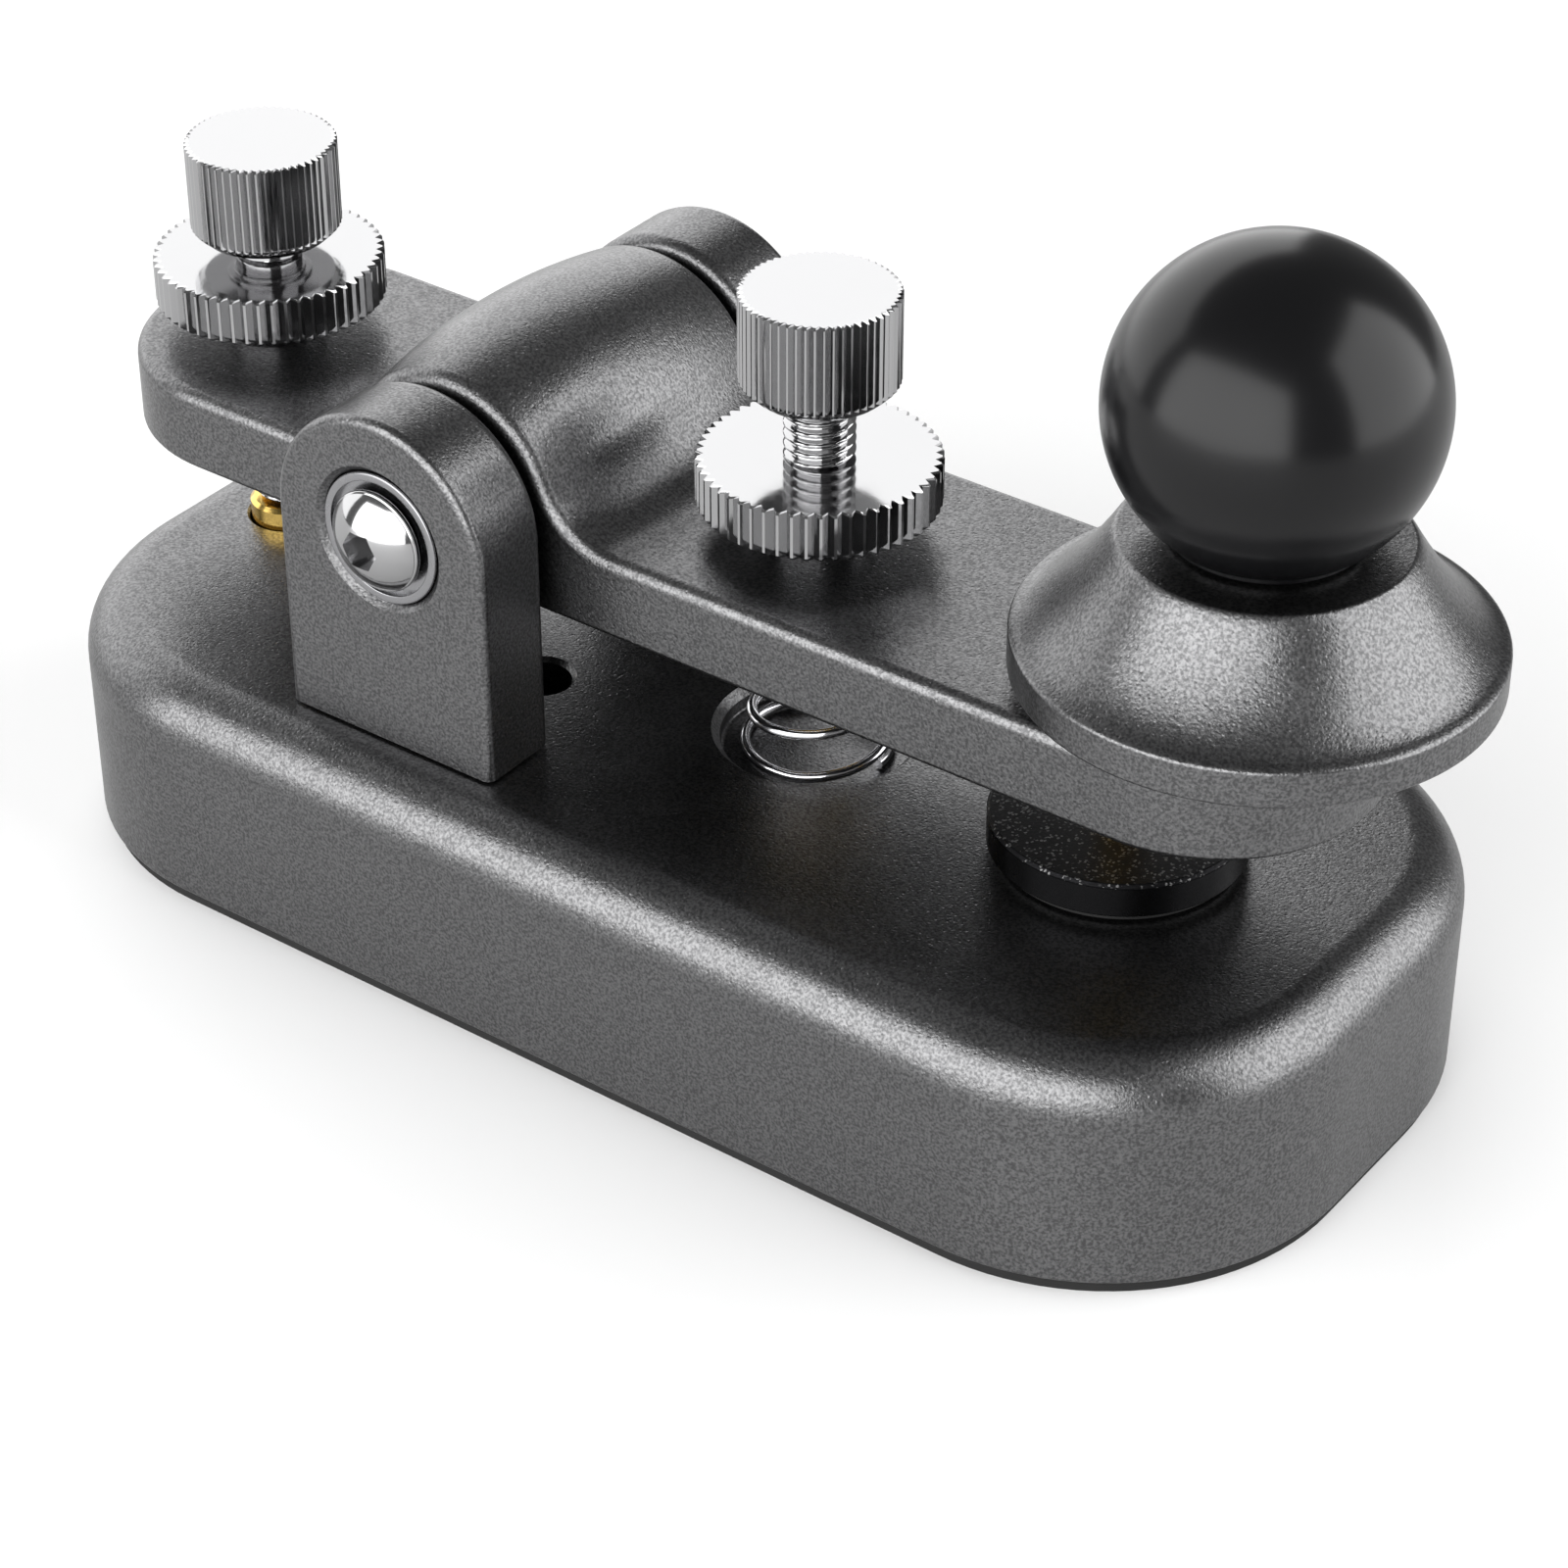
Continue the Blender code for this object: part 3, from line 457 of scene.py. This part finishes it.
RUBBER = soft_plastic("rubber_black", (0.006, 0.006, 0.006), (0.012, 0.012, 0.012), 0.80, 2500.0, 0.00002)
INSULATOR = soft_plastic("insulator_black", (0.010, 0.010, 0.010), (0.016, 0.016, 0.016), 0.50, 2600.0,
                         0.000005)
JACK_PLASTIC = soft_plastic("jack_black", (0.012, 0.012, 0.012), (0.020, 0.020, 0.020), 0.42, 2200.0,
                            0.000005)
NYLON = soft_plastic("nylon_white", (0.68, 0.67, 0.62), (0.78, 0.77, 0.73), 0.45, 1500.0, 0.000004)
RED_WIRE = soft_plastic("wire_red", (0.38, 0.02, 0.02), (0.48, 0.03, 0.03), 0.42, 1500.0, 0.000004)
BLACK_WIRE = soft_plastic("wire_black", (0.015, 0.015, 0.015), (0.022, 0.022, 0.022), 0.42, 1500.0, 0.000004)

CAD_MATERIALS = {
    "bottom_plate": PLATE_METAL,
    "plate_screw_1": SCREW_STEEL, "plate_screw_2": SCREW_STEEL,
    "plate_screw_3": SCREW_STEEL, "plate_screw_4": SCREW_STEEL,
    "pillar_screw_1": SCREW_STEEL, "pillar_screw_2": SCREW_STEEL,
    "pillar_screw_3": SCREW_STEEL, "pillar_screw_4": SCREW_STEEL,
    "pivot_spacer_near": SCREW_STEEL, "pivot_spacer_far": SCREW_STEEL,
    "knob_stud": SCREW_STEEL, "anvil_nut": SCREW_STEEL, "ground_screw": SCREW_STEEL,
    "signal_tag": BRASS, "ground_tag": BRASS, "jack_tip_lug": BRASS, "jack_sleeve_lug": BRASS,
    "anvil_bush": NYLON, "signal_wire": RED_WIRE, "ground_wire": BLACK_WIRE,
    "jack_body": JACK_PLASTIC, "jack_nut": SCREW_STEEL,
}


def repaint_cad_nodes():
    for name, material in CAD_MATERIALS.items():
        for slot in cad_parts[name].material_slots:
            slot.material = material


# ---------------------------------------------------------------- base and pillars

def make_base():
    body = block("base_shell", BASE_LOW, BASE_HIGH, BASE_CORNER, SHOULDER, 0.35, 24)
    pocket = turned("pocket_cut", eased([(0.0, 2.0), (POCKET_RADIUS + 2.6, 2.0), (POCKET_RADIUS + 0.6, 0.0),
                                         (POCKET_RADIUS, -0.6), (POCKET_RADIUS, -POCKET_DEPTH, 0.35),
                                         (0.0, -POCKET_DEPTH)]), (TENSION_X, 0.0, FLOOR))
    stop = turned("stop_cut", [(0.0, 1.0), (4.2, 1.0), (3.2, 0.0), (3.0, -0.2), (3.0, -STOP_HOLE_DEPTH),
                               (0.0, -STOP_HOLE_DEPTH)], (GAP_X, 0.0, FLOOR), segments=64)
    anvil = turned("anvil_cut", [(0.0, 1.0), (3.0, 1.0), (3.0, -HOLE_DEPTH), (0.0, -HOLE_DEPTH)],
                   (CONTACT_X, 0.0, FLOOR), segments=48)
    wire = turned("wire_cut", [(0.0, 1.0), (3.6, 1.0), (2.65, 0.0), (2.3, -0.35), (2.3, -HOLE_DEPTH),
                               (0.0, -HOLE_DEPTH)],
                  (PIVOT.x + WIRE_HOLE[0], WIRE_HOLE[1], FLOOR), segments=64)
    jack = centre_mm("jack_nut")
    recess = turned("jack_cut", [(0.0, 2.0), (5.9, 2.0), (4.6, 0.0), (4.6, -JACK_RECESS), (3.1, -JACK_RECESS),
                                 (3.1, -6.0), (0.0, -6.0)],
                    (BASE_LOW.x + 0.35, jack.y, jack.z), REAR, 96)
    carve(body, [pocket, stop, anvil, wire, recess])
    add(body, "base", GUNMETAL, "gunmetal", "base_body")
    low, high = box_mm("rubber_pad")
    pad = block("rubber_sole", low, high, BASE_CORNER - 0.5, 0.1, 0.1, 3)
    add(pad, "base", RUBBER, "rubber", "rubber_pad")


def arch(half, centre_x, y, foot, inset, steps=48):
    """Upright outline with a round top, its sides and top moved inwards by an inset."""
    reach = half - inset
    points = [(centre_x - reach, y, foot), (centre_x + reach, y, foot)]
    points += [(centre_x + x, y, PIVOT.z + z) for x, z in arc((0.0, 0.0), reach, 0.0, 180.0, steps)]
    return points


def make_pillar(label):
    side = SIDES[label][1]
    low, high = box_mm(f"pillar_{label}")
    inner, outer = sorted((low.y, high.y), key=abs)
    half = (high.x - low.x) / 2
    rings = [arch(half, PIVOT.x, outer - side * drop, low.z, inset)
             for inset, drop in reversed(quarter(0.7))]
    rings += [arch(half, PIVOT.x, inner + side * drop, low.z, inset)
              for inset, drop in quarter(1.1)]
    pillar = loft(f"pillar_arch_{label}", rings)
    race_low, race_high = box_mm(f"bearing_outer_{label}")
    seat = min(abs(race_low.y), abs(race_high.y)) - SEAT_CLEARANCE
    face = abs(outer)
    back = abs(inner) - 1.0
    race = (race_high.x - race_low.x) / 2 + RACE_CLEARANCE
    bore = turned(f"bore_cut_{label}", [(0.0, face + 1.0), (race + 1.45, face + 1.0), (race + 0.45, face),
                                        (race, face - 0.45), (race, seat), (LIP_RADIUS, seat),
                                        (LIP_RADIUS, back), (0.0, back)],
                  (PIVOT.x, 0.0, PIVOT.z), SIDES[label], 128)
    carve(pillar, [bore])
    add(pillar, "base", GUNMETAL, "gunmetal", f"pillar_{label}")


def make_bearing(label):
    """Outer race with its shield set back from the face, and the inner race that turns with the lever."""
    low, high = box_mm(f"bearing_outer_{label}")
    back, face = sorted((abs(low.y), abs(high.y)))
    radius = (high.x - low.x) / 2
    centre = (PIVOT.x, 0.0, PIVOT.z)
    outer = turned(f"outer_race_{label}",
                   eased([(4.35, face, 0.08), (radius, face, 0.2), (radius, back, 0.2), (3.3, back),
                          (3.3, face - 0.5, 0.1), (4.35, face - 0.5)], cyclic=True),
                   centre, SIDES[label], 128, True)
    add(outer, "base", RACE_STEEL, "bearing_steel", f"bearing_outer_{label}")
    inner = turned(f"inner_race_{label}",
                   eased([(2.1, face, 0.1), (3.05, face, 0.15), (3.05, back, 0.15), (2.1, back, 0.1)],
                         cyclic=True),
                   centre, SIDES[label], 96, True)
    add(inner, "lever", INNER_RACE_STEEL, "bearing_steel", f"bearing_inner_{label}")


def hexagon(across_flats, bottom, top):
    """Two hexagonal rings about +Z, one at each height."""
    radius = across_flats / math.sqrt(3)
    corners = [math.radians(60 * i) for i in range(6)]
    return [[(radius * math.cos(angle), radius * math.sin(angle), height) for angle in corners]
            for height in (bottom, top)]


def make_pivot_screw(label):
    """Button-head screw with a hexagon socket."""
    low, high = box_mm(f"pivot_screw_{label}")
    tip, crown = sorted((abs(low.y), abs(high.y)))
    radius = (high.x - low.x) / 2
    seat = crown - BUTTON_HEIGHT
    rise = BUTTON_HEIGHT - BUTTON_RIM
    dome = (radius ** 2 + rise ** 2) / (2 * rise)
    spread = math.degrees(math.asin(radius / dome))
    steps = 20
    profile = []
    for i in range(steps):
        angle = math.radians(spread * i / steps)
        profile.append((dome * math.sin(angle), crown - dome + dome * math.cos(angle)))
    profile += eased([(radius - 0.15, seat + BUTTON_RIM + 0.1), (radius, seat + BUTTON_RIM, 0.08),
                      (radius, seat, 0.1), (2.0, seat), (2.0, tip + 0.4), (1.6, tip), (0.0, tip)])
    centre = (PIVOT.x, 0.0, PIVOT.z)
    screw = turned(f"button_screw_{label}", profile, centre, SIDES[label], 96)
    rings = [facing(ring, centre, SIDES[label]) for ring in hexagon(SOCKET_SIZE, seat + 0.5, crown + 1.0)]
    carve(screw, [loft(f"socket_cut_{label}", rings)])
    add(screw, "lever", CHROME, "polished_steel", f"pivot_screw_{label}")


# ---------------------------------------------------------------- lever

def hub_ring(radius, y, inset):
    """Side outline of the pivot barrel and its two fillets, moved inwards by an inset."""
    top = LEVER_TOP - PIVOT.z
    centre_z = top + HUB_FILLET
    centre_x = math.sqrt((radius + HUB_FILLET) ** 2 - centre_z ** 2)
    tangent = math.degrees(math.atan2(centre_z, centre_x))
    barrel = radius - inset
    fillet = HUB_FILLET + inset
    sunk = top - 1.6
    points = [(centre_x, sunk)]
    points += arc((centre_x, centre_z), fillet, 270.0, 180.0 + tangent, 14)
    points += arc((0.0, 0.0), barrel, tangent, 180.0 - tangent, 40)[1:-1]
    points += arc((-centre_x, centre_z), fillet, -tangent, -90.0, 14)
    points += [(-centre_x, sunk)]
    points += arc((0.0, 0.0), barrel, 190.0, 350.0, 32)
    return [(PIVOT.x + x, y, PIVOT.z + z) for x, z in points]


def make_hub():
    """Crowned barrel that grows out of the lever's upper face."""
    half = (LEVER_HIGH.y - LEVER_LOW.y) / 2 - 0.17
    rounding = [(half - drop, inset) for drop, inset in quarter(LEVER_EDGE, 6)]
    inner = half - LEVER_EDGE
    steps = 24
    stations = rounding + [(inner - 2 * inner * i / steps, 0.0) for i in range(1, steps)]
    stations += [(-y, inset) for y, inset in reversed(rounding)]
    rings = []
    for y, inset in stations:
        radius = HUB_END_RADIUS + (HUB_MID_RADIUS - HUB_END_RADIUS) * (1.0 - (y / half) ** 2)
        rings.append(hub_ring(radius, y, inset))
    return loft("lever_hub", rings)


def make_lever():
    low = Vector((LEVER_LOW.x, -LEVER_HALF, LEVER_BOTTOM))
    high = Vector((LEVER_HIGH.x, LEVER_HALF, LEVER_TOP))
    bar = block("lever_bar", low, high, LEVER_HALF, LEVER_EDGE, 0.5, 6)
    through = [(0.0, LEVER_TOP + 1.0), (STUD_BORE, LEVER_TOP + 1.0), (STUD_BORE, LEVER_BOTTOM - 1.0),
               (0.0, LEVER_BOTTOM - 1.0)]
    carve(bar, [turned(f"stud_cut_{label}", through, (x, 0.0, 0.0), segments=64)
                for label, x in (("tension", TENSION_X), ("gap", GAP_X), ("knob", KNOB_X))])
    add(join(bar, make_hub()), "lever", GUNMETAL, "gunmetal", "lever_arm")


# ---------------------------------------------------------------- knob

def make_finger_disc():
    """Flared disc with a flat top that the ball stands on."""
    low, high = box_mm("finger_disc")
    radius = (high.x - low.x) / 2
    skirt = []
    steps = 24
    for i in range(steps + 1):
        t = i / steps
        drop = 1.0 - (1.0 - t) ** DISC_FLARE
        skirt.append((DISC_RIM + (radius - 0.35 - DISC_RIM) * t,
                      high.z - 0.3 + (DISC_BAND_TOP + 0.45 - high.z) * drop))
    profile = eased([(STUD_BORE, high.z), (DISC_RIM - 0.3, high.z, 0.15), skirt[0]])
    profile += skirt[1:-1]
    profile += eased([skirt[-1], (radius, DISC_BAND_TOP - 0.05, 0.2), (radius, DISC_BOTTOM, 0.25),
                      (DISC_FOOT, DISC_BOTTOM, 0.2), (DISC_FOOT, low.z), (STUD_BORE, low.z)])
    disc = turned("finger_rest", profile, (KNOB_X, 0.0, 0.0), segments=192, ring=True)
    add(disc, "lever", GUNMETAL, "gunmetal", "finger_disc")


def make_ball():
    """Ball cut off flat where it meets the finger disc."""
    low, high = box_mm("ball_knob")
    radius = (high.x - low.x) / 2
    centre = high.z - radius
    edge = low.z + 0.65
    spread = math.acos((edge - centre) / radius)
    steps = 72
    profile = []
    for i in range(steps + 1):
        angle = spread * i / steps
        profile.append((radius * math.sin(angle), centre + radius * math.cos(angle)))
    profile += eased([(BALL_FOOT + 0.25, edge - 0.1), (BALL_FOOT, edge - 0.2, 0.08), (BALL_FOOT, low.z, 0.15),
                      (STUD_BORE, low.z), (STUD_BORE, centre - 1.8), (0.0, centre - 1.8)])
    ball = turned("ball_grip", profile, (KNOB_X, 0.0, 0.0), segments=160)
    add(ball, "lever", BALL_BLACK, "black_gloss", "ball_knob")


# ---------------------------------------------------------------- contacts and spring

def make_anvil():
    """Round black anvil in two finishes, the insulator under it and the brass contact in its middle."""
    centre = (CONTACT_X, 0.0, 0.0)
    low, high = box_mm("anvil")
    radius = (high.x - low.x) / 2
    rim = radius - 0.02
    top = turned("anvil_face", eased([(2.35, high.z), (radius - 0.22, high.z, 0.05), (rim, high.z - 0.22),
                                      (rim, high.z - 0.3), (2.35, high.z - 0.3)], cyclic=True),
                 centre, segments=160, ring=True)
    add(top, "base", ANVIL_BLACK, "black_anodised", "anvil")
    split = high.z - 0.31
    side = turned("anvil_skirt", eased([(2.3, split), (radius, split), (radius, low.z, 0.12), (1.7, low.z)],
                                       cyclic=True),
                  centre, segments=160, ring=True)
    add(side, "base", ANVIL_SIDE, "black_anodised", "anvil")
    low, high = box_mm("anvil_washer")
    radius = (high.x - low.x) / 2
    washer = turned("anvil_insulator", eased([(1.7, high.z), (radius, high.z, 0.1), (radius, low.z, 0.1),
                                              (1.7, low.z)], cyclic=True),
                    centre, segments=96, ring=True)
    add(washer, "base", INSULATOR, "insulator", "anvil_washer")
    low, high = box_mm("anvil_contact")
    contact = turned("fixed_contact", eased([(0.0, high.z), (2.1, high.z, 0.25), (2.1, 21.2), (1.5, 21.2),
                                             (1.5, low.z, 0.2), (0.0, low.z)]), centre, segments=64)
    add(contact, "base", BRASS, "brass", "anvil_contact")


def make_brass_pieces():
    """Moving contact, stop for the rear screw, and the spool that centres the spring."""
    low, high = box_mm("contact_pin")
    pin = turned("moving_contact", eased([(0.0, high.z), (1.6, high.z), (1.6, low.z, 0.35), (0.0, low.z)]),
                 (CONTACT_X, 0.0, 0.0), segments=64)
    add(pin, "lever", BRASS, "brass", "contact_pin")
    low, high = box_mm("gap_stop")
    stop = turned("gap_anvil", eased([(0.0, high.z), (2.55, high.z), (2.85, high.z - 0.3), (2.85, low.z, 0.2),
                                      (0.0, low.z)]), (GAP_X, 0.0, 0.0), segments=96)
    add(stop, "base", BRASS, "brass", "gap_stop")
    low, high = box_mm("spring_seat")
    seat = turned("spring_spool", eased([(0.0, high.z), (2.4, high.z, 0.1), (2.4, 26.9), (4.5, 26.9, 0.2),
                                         (4.5, 25.8, 0.2), (2.9, 25.8), (2.9, low.z, 0.4), (0.0, low.z)]),
                  (TENSION_X, 0.0, 0.0), segments=96)
    add(seat, "tension_screw", BRASS, "brass", "spring_seat")


def coil_points(first, last, per_turn=72):
    """Centre line of part of the conical spring, between two turn counts."""
    bottom = FLOOR - POCKET_DEPTH + SPRING_WIRE_RADIUS + 0.1
    points = []
    for i in range(round(first * per_turn), round(last * per_turn) + 1):
        turn = i / per_turn
        rise = min(max((turn - CLOSED_TURN) / (SPRING_TURNS - 2 * CLOSED_TURN), 0.0), 1.0)
        radius = SPRING_BOTTOM_RADIUS + (SPRING_TOP_RADIUS - SPRING_BOTTOM_RADIUS) * rise
        height = bottom + (SPRING_TOP - bottom) * (0.9 * rise + 0.1 * turn / SPRING_TURNS)
        angle = math.tau * turn
        points.append(Vector((TENSION_X + radius * math.cos(angle), radius * math.sin(angle), height)))
    return points


def wire_mesh(name, line, radius, sides=14):
    """Round wire along a line, closed at both ends."""
    rings = []
    for i, point in enumerate(line):
        along = (line[min(i + 1, len(line) - 1)] - line[max(i - 1, 0)]).normalized()
        across = along.cross(Vector(UP)).normalized()
        other = across.cross(along)
        ring = []
        for k in range(sides):
            angle = math.tau * k / sides
            ring.append(point + (across * math.cos(angle) + other * math.sin(angle)) * radius)
        rings.append(ring)
    return loft(name, rings)


def make_spring():
    """Two halves of one coil, the lower two turns and the upper two, each a fixed wire mesh."""
    half = SPRING_TURNS / 2
    lower = wire_mesh("spring_lower_coils", coil_points(0.0, half), SPRING_WIRE_RADIUS)
    finish(lower, SPRING_WIRE, ("return_spring",), 60.0)
    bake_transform(lower)
    upper = wire_mesh("spring_upper_coils", coil_points(half, SPRING_TURNS), SPRING_WIRE_RADIUS)
    finish(upper, SPRING_WIRE, ("return_spring",), 60.0)
    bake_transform(upper)


# ---------------------------------------------------------------- adjusting screws

def knurled_rows(radius, teeth, depth, land, levels):
    """Rings of a straight knurl with V grooves; levels are (height, largest radius)."""
    pitch = math.tau / teeth
    shape = ((-land / 2, radius), (land / 2, radius), (0.5, radius - depth))
    rings = []
    for height, limit in levels:
        ring = []
        for tooth in range(teeth):
            for offset, reach in shape:
                angle = pitch * (tooth + offset)
                size = min(reach, limit)
                ring.append((size * math.cos(angle), size * math.sin(angle), height))
        rings.append(ring)
    return rings


def chamfer_levels(low, high, radius, bottom, top, steps=5):
    """Heights with the radius that the lower and upper chamfers leave."""
    levels = [(low + bottom * i / steps, radius - bottom + bottom * i / steps) for i in range(steps + 1)]
    levels += [(high - top + top * i / steps, radius - top * i / steps) for i in range(steps + 1)]
    return levels


def knurled_piece(name, x, rings):
    """Closed skin through knurled rings, moved along X to an adjuster."""
    return loft(name, [[(px + x, py, pz) for px, py, pz in ring] for ring in rings])


def make_head(label, x):
    """Knurled head of an adjusting screw, with a stepped boss where the CAD has one."""
    low, high = box_mm(f"{label}_knob")
    radius = (high.x - low.x) / 2
    bottom = high.z - HEAD_HEIGHT
    levels = chamfer_levels(bottom, high.z, radius, 0.75, 0.18)
    head = knurled_piece(f"{label}_head", x, knurled_rows(radius, HEAD_TEETH, 0.42, 0.20, levels))
    if low.z < bottom - 0.1:
        boss = turned(f"{label}_boss",
                      eased([(0.0, bottom + 0.2), (3.1, bottom + 0.2), (3.1, bottom - 0.22, 0.06),
                             (2.65, bottom - 0.26), (2.65, low.z, 0.08), (0.0, low.z)]),
                      (x, 0.0, 0.0), segments=96)
        join(head, boss)
    add(head, f"{label}_head", CHROME, "polished_steel", f"{label}_knob", sharp=20.0)


def make_nut(label, x):
    """Knurled lock nut standing on its collar."""
    low, high = box_mm(f"{label}_lock_nut")
    radius = (high.x - low.x) / 2
    levels = chamfer_levels(NUT_BOTTOM, high.z, radius, 0.3, 0.16)
    nut = knurled_piece(f"{label}_nut_flange", x, knurled_rows(radius, NUT_TEETH, 0.62, 0.20, levels))
    collar = turned(f"{label}_nut_collar", eased([(0.0, NUT_BOTTOM + 0.2), (COLLAR_RADIUS, NUT_BOTTOM + 0.2),
                                                  (COLLAR_RADIUS, low.z, 0.2), (0.0, low.z)]),
                    (x, 0.0, 0.0), segments=96)
    add(join(nut, collar), f"{label}_nut", CHROME, "polished_steel", f"{label}_lock_nut", sharp=20.0)


def thread_reach(radius, phase):
    """Radius of the thread's surface; phase runs from 0 to 1 along one pitch."""
    wave = min(max((1.0 - abs(2.0 * phase - 1.0) - 0.12) / 0.7, 0.0), 1.0)
    return radius - THREAD_DEPTH * (1.0 - wave)


def threaded_stud(name, x, low, high, radius, plain_from, segments=48):
    """Screw shank with a helical thread, plain above a height and chamfered at its tip."""
    step = THREAD_PITCH / 16
    count = math.ceil((high - low) / step)
    rings = []
    for k in range(count + 1):
        z = min(low + k * step, high)
        ring = []
        for i in range(segments):
            reach = radius - 0.06
            if z <= plain_from:
                reach = thread_reach(radius, (z / THREAD_PITCH - i / segments) % 1.0)
            reach = min(reach, radius - 0.5 + (z - low))
            angle = math.tau * i / segments
            ring.append((x + reach * math.cos(angle), reach * math.sin(angle), z))
        rings.append(ring)
    return loft(name, rings)


def make_studs():
    """Shanks of both adjusting screws, each ending just under its head."""
    for label, x, plain_from in (("tension", TENSION_X, math.inf), ("gap", GAP_X, SHANK_PLAIN_FROM)):
        low, high = box_mm(f"{label}_stud")
        top = box_mm(f"{label}_knob")[0].z - 0.05
        stud = threaded_stud(f"{label}_shank", x, low.z, top, (high.x - low.x) / 2, plain_from)
        add(stud, f"{label}_screw", CHROME, "polished_steel", f"{label}_stud", sharp=40.0)


# ---------------------------------------------------------------- studio

def stage_material(name, seen, reflected, glow):
    """Matt floor that looks white in the picture and greyer in the key's reflections."""
    material = new_material(name, seen, 0.6)
    rays = add_node(material, "ShaderNodeLightPath", {}).outputs["Is Camera Ray"]
    tint(material, rays, reflected, seen)
    shader = shader_of(material)
    shader.inputs["Emission Color"].default_value = (1.0, 1.0, 1.0, 1.0)
    strength = remap(material, rays, 0.0, 1.0, 0.0, glow)
    material.node_tree.links.new(strength, shader.inputs["Emission Strength"])
    return material


def make_floor():
    size = 480.0
    floor = mesh_object("studio_floor", [(-size, -size, 0.0), (size, -size, 0.0), (size, size, 0.0),
                                         (-size, size, 0.0)], [(0, 1, 2, 3)])
    floor.data.materials.append(stage_material("floor_white", (0.9, 0.9, 0.9), (0.68, 0.68, 0.68), 0.10))


def make_world():
    """White surroundings for the camera, dim for light and reflections apart from the panels."""
    world = bpy.data.worlds.new("studio")
    world.use_nodes = True
    bpy.context.scene.world = world
    tree = world.node_tree
    background = tree.nodes["Background"]
    background.inputs["Color"].default_value = (1.0, 1.0, 1.0, 1.0)
    rays = tree.nodes.new("ShaderNodeLightPath")
    strength = tree.nodes.new("ShaderNodeMapRange")
    strength.inputs["To Min"].default_value = 0.18
    strength.inputs["To Max"].default_value = 1.0
    tree.links.new(rays.outputs["Is Camera Ray"], strength.inputs["Value"])
    tree.links.new(strength.outputs["Result"], background.inputs["Strength"])


def make_panel(name, azimuth, distance, width, bottom, top, radiance):
    """Upright soft box; azimuth is the direction from the key to the panel, in degrees."""
    height = top - bottom
    data = bpy.data.lights.new(name, "AREA")
    data.shape = "RECTANGLE"
    data.size = width
    data.size_y = height
    data.energy = radiance * math.pi * width * height
    panel = bpy.data.objects.new(name, data)
    angle = math.radians(azimuth)
    panel.location = (distance * math.cos(angle), distance * math.sin(angle), (bottom + top) / 2)
    inwards = Vector((-math.cos(angle), -math.sin(angle), 0.0))
    panel.rotation_euler = inwards.to_track_quat("-Z", "Y").to_euler()
    panel.visible_camera = False
    bpy.context.scene.collection.objects.link(panel)


def make_camera():
    azimuth = math.radians(CAMERA_AZIMUTH)
    elevation = math.radians(CAMERA_ELEVATION)
    back = Vector((math.sin(azimuth) * math.cos(elevation), -math.cos(azimuth) * math.cos(elevation),
                   math.sin(elevation)))
    data = bpy.data.cameras.new("camera")
    data.lens = CAMERA_LENS
    data.sensor_width = 36.0
    data.clip_start = 0.01
    data.clip_end = 20.0
    camera = bpy.data.objects.new("camera", data)
    camera.location = Vector(CAMERA_TARGET) + back * CAMERA_DISTANCE
    camera.rotation_euler = (-back).to_track_quat("-Z", "Y").to_euler()
    bpy.context.scene.collection.objects.link(camera)
    bpy.context.scene.camera = camera


def make_studio():
    make_floor()
    make_world()
    make_panel("panel_front", -94.0, 0.50, 1.02, 0.0, 0.56, 3.6)
    make_panel("panel_right", 26.0, 0.50, 0.68, 0.0, 0.72, 2.9)
    make_panel("panel_rear", 158.0, 0.50, 1.02, 0.0, 0.56, 1.8)
    bpy.context.scene.view_settings.view_transform = "Standard"
    make_camera()


# ---------------------------------------------------------------- assembly


def make_key():
    repaint_cad_nodes()
    make_base()
    for label in SIDES:
        make_pillar(label)
        make_bearing(label)
        make_pivot_screw(label)
    make_lever()
    make_finger_disc()
    make_ball()
    make_anvil()
    make_brass_pieces()
    make_spring()
    for label, x in (("tension", TENSION_X), ("gap", GAP_X)):
        make_head(label, x)
        make_nut(label, x)
    make_studs()


make_key()
make_studio()
